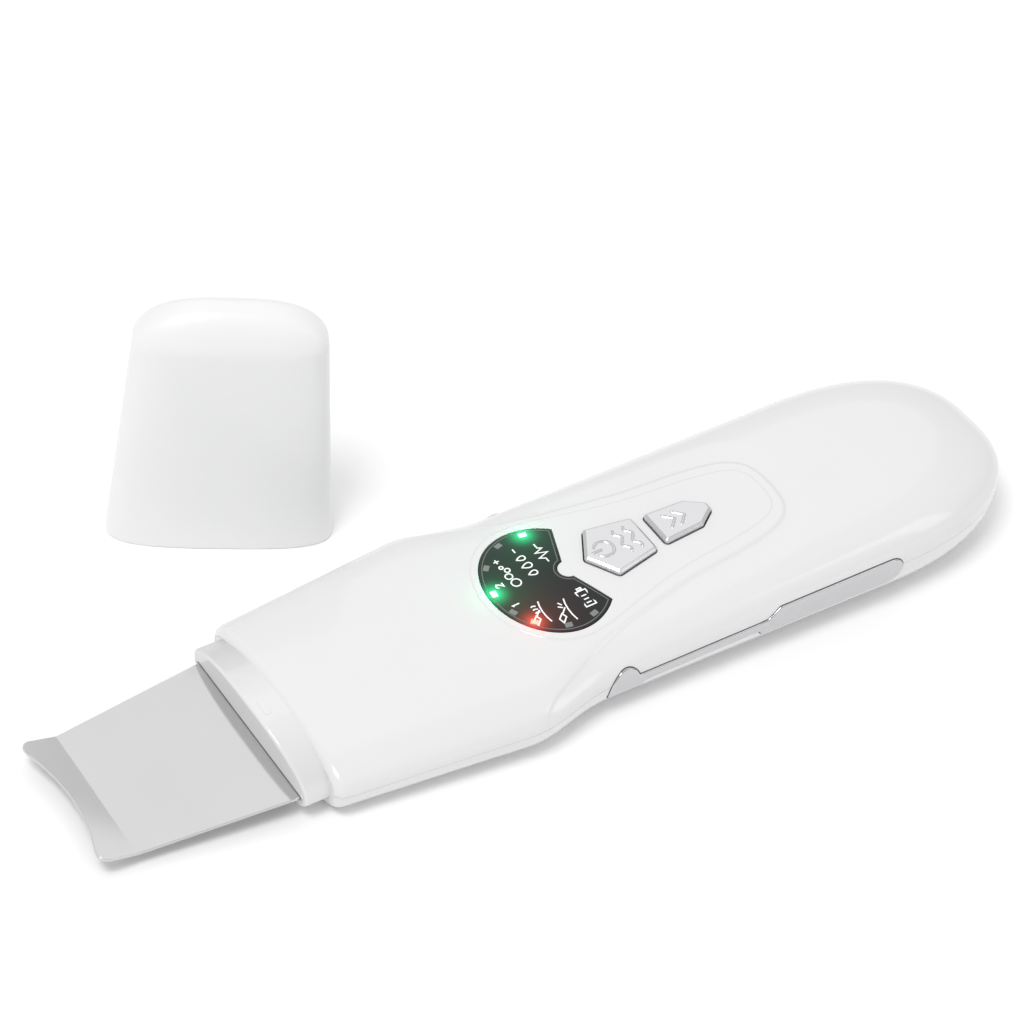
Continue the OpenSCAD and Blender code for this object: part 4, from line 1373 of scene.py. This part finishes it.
def finish_inner_nodes():
    """The unseen CAD parts keep their shape and get their own materials."""
    for name, (nodes, colour, roughness, metallic) in NODE_FINISHES.items():
        made = surface(name, colour, roughness, metallic, bump=0.05)
        for node in nodes:
            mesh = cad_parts[node].data
            mesh.materials.clear()
            mesh.materials.append(made)


# ---- the pieces put together

def add(obj, made, body, nodes=()):
    obj.data.materials.clear()
    obj.data.materials.append(made)
    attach(obj, body)
    if nodes:
        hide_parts(*nodes)


def add_fixed(obj, made, slot_name, *nodes):
    """A piece that never moves against the handset."""
    add(obj, made, "handset", nodes)


def build_shells():
    white = shell_white()
    add_fixed(make_upper_shell(), white, "white_shell", "upper_case")
    add_fixed(make_lower_shell(), white, "white_shell", "lower_case")
    add_fixed(make_front_wall(), white, "white_shell")
    add_fixed(make_collar(), white, "white_shell", "collar")
    add_fixed(make_collar_mark(), white, "white_shell")
    add_fixed(make_blade(), blade_steel(), "blade_steel", "blade")


def build_display():
    add_fixed(make_display(), smoked_glass(), "display_glass", "display_window")
    add_fixed(make_display_border(), surface("display_line", (0.16, 0.17, 0.17), 0.4), "display_glass")
    add_fixed(make_icons(), glowing("lit_symbol", SYMBOL, 0.25), "display_glass")
    lights = {"green": glowing("lit_green", (0.60, 1.0, 0.80), 1.6),
              "red": glowing("lit_red", (1.0, 0.30, 0.22), 1.1)}
    unlit = surface("unlit_window", (0.20, 0.215, 0.215), 0.3)
    for name in LED_ANGLES:
        add_fixed(make_led_window(name), lights[LIT[name]] if name in LIT else unlit, "led_body")


def build_buttons():
    silver = silver_paint()
    buttons = (("power_button", power_outline, power_strokes()),
               ("mode_button", mode_outline, mode_strokes()))
    for node, outline, strokes in buttons:
        add(make_button(node + "_cap", outline, strokes), silver, node, (node,))


def build_metal():
    # dark serves two things: painted shadow round the chrome strips, and the port tongue's own dark plastic
    plate, dark = chrome(), surface("painted_shadow_and_tongue_plastic", (0.05, 0.05, 0.052), 0.6)
    for side, word in ((-1, "right"), (1, "left")):
        add_fixed(make_strip(word, side), plate, "chrome_trim", "side_electrode_" + word)
        # painted shadow: a dark sheet round each strip where the shaded gap is
        add_fixed(make_strip_painted_shadow(word, side), dark, "dark_plastic")
    add_fixed(make_port(), plate, "port_steel", "charging_port")
    add_fixed(make_port_tongue(), dark, "dark_plastic")


def build_pieces():
    build_shells()
    build_display()
    build_buttons()
    build_metal()
    add(make_cap(), cap_white(), "cap", ("cap",))


# ---- floor, light and camera

FLOOR_HALF = 1.5
WORLD_LIGHT = 0.70
SOFTBOXES = {
    "ahead": ((0.38, 0.60, 0.86), (0.9, 0.9), 1.05),
    "left_box": ((-0.6, -0.2, 1.3), (0.5, 0.5), 8.5),
    "right_box": ((0.75, -0.75, 0.6), (0.25, 0.7), 0.7),
}


def make_floor():
    mesh = bpy.data.meshes.new("floor")
    corners = [(x, y, 0) for x, y in rectangle(FLOOR_HALF, FLOOR_HALF)]
    mesh.from_pydata(corners, [], [(0, 1, 2, 3)])
    floor = linked("floor", mesh)
    mesh.materials.append(surface("pale_floor", (0.98, 0.98, 0.98), 0.9, grain=60, bump=0.0, vary=0.0))
    floor.location.z = -0.00002


def add_softbox(name, at, size, power):
    """A rectangular light that faces the object."""
    lamp = bpy.data.lights.new(name, "AREA")
    lamp.shape = "RECTANGLE"
    lamp.size, lamp.size_y = size
    lamp.energy = power
    obj = linked(name, lamp)
    obj.location = at
    obj.rotation_euler = (-Vector(at)).to_track_quat("-Z", "Y").to_euler()


def add_led_lights():
    """The coloured light that the lit LEDs throw on the case round the display."""
    for name, kind in LIT.items():
        lamp = bpy.data.lights.new("led_light_" + name, "POINT")
        lamp.color = GLOW_COLOURS[kind]
        lamp.energy = LED_POWER[kind]
        lamp.shadow_soft_size = 0.0004
        lamp.specular_factor = 0.0
        obj = linked("led_light_" + name, lamp)
        obj.location = Vector(led_point(name)) + Vector((0, 0, 0.0012))
        obj.visible_camera = False
        obj.visible_glossy = False


def light_scene():
    """Even white surroundings, a soft light ahead, one over the camera's left and one on the right."""
    world = bpy.data.worlds.new("studio")
    bpy.context.scene.world = world
    world.use_nodes = True
    set_inputs(world.node_tree.nodes["Background"], Color=(1, 1, 1, 1), Strength=WORLD_LIGHT)
    for name, (at, size, power) in SOFTBOXES.items():
        add_softbox(name, at, size, power)
    add_led_lights()
    bpy.context.scene.view_settings.view_transform = "Standard"


CAMERA_AT = (-0.2932, -0.3563, 0.4537)
CAMERA_AZIMUTH = math.radians(38.13)
CAMERA_DOWN = math.radians(42.69)
CAMERA_ROLL = math.radians(8.15)
CAMERA_LENS = 123.05


def place_camera():
    a, e, r = CAMERA_AZIMUTH, CAMERA_DOWN, CAMERA_ROLL
    look = Vector((math.sin(a) * math.cos(e), math.cos(a) * math.cos(e), -math.sin(e)))
    level = Vector((math.cos(a), -math.sin(a), 0))
    above = level.cross(look)
    right = math.cos(r) * level + math.sin(r) * above
    up = -math.sin(r) * level + math.cos(r) * above
    lens = bpy.data.cameras.new("camera")
    lens.lens = CAMERA_LENS
    lens.sensor_width = 36.0
    lens.clip_start = 0.01
    camera = linked("camera", lens)
    turned = Matrix((right, up, -look)).transposed()
    camera.matrix_world = Matrix.Translation(CAMERA_AT) @ turned.to_4x4()
    bpy.context.scene.camera = camera


finish_inner_nodes()
build_pieces()
make_floor()
light_scene()
place_camera()
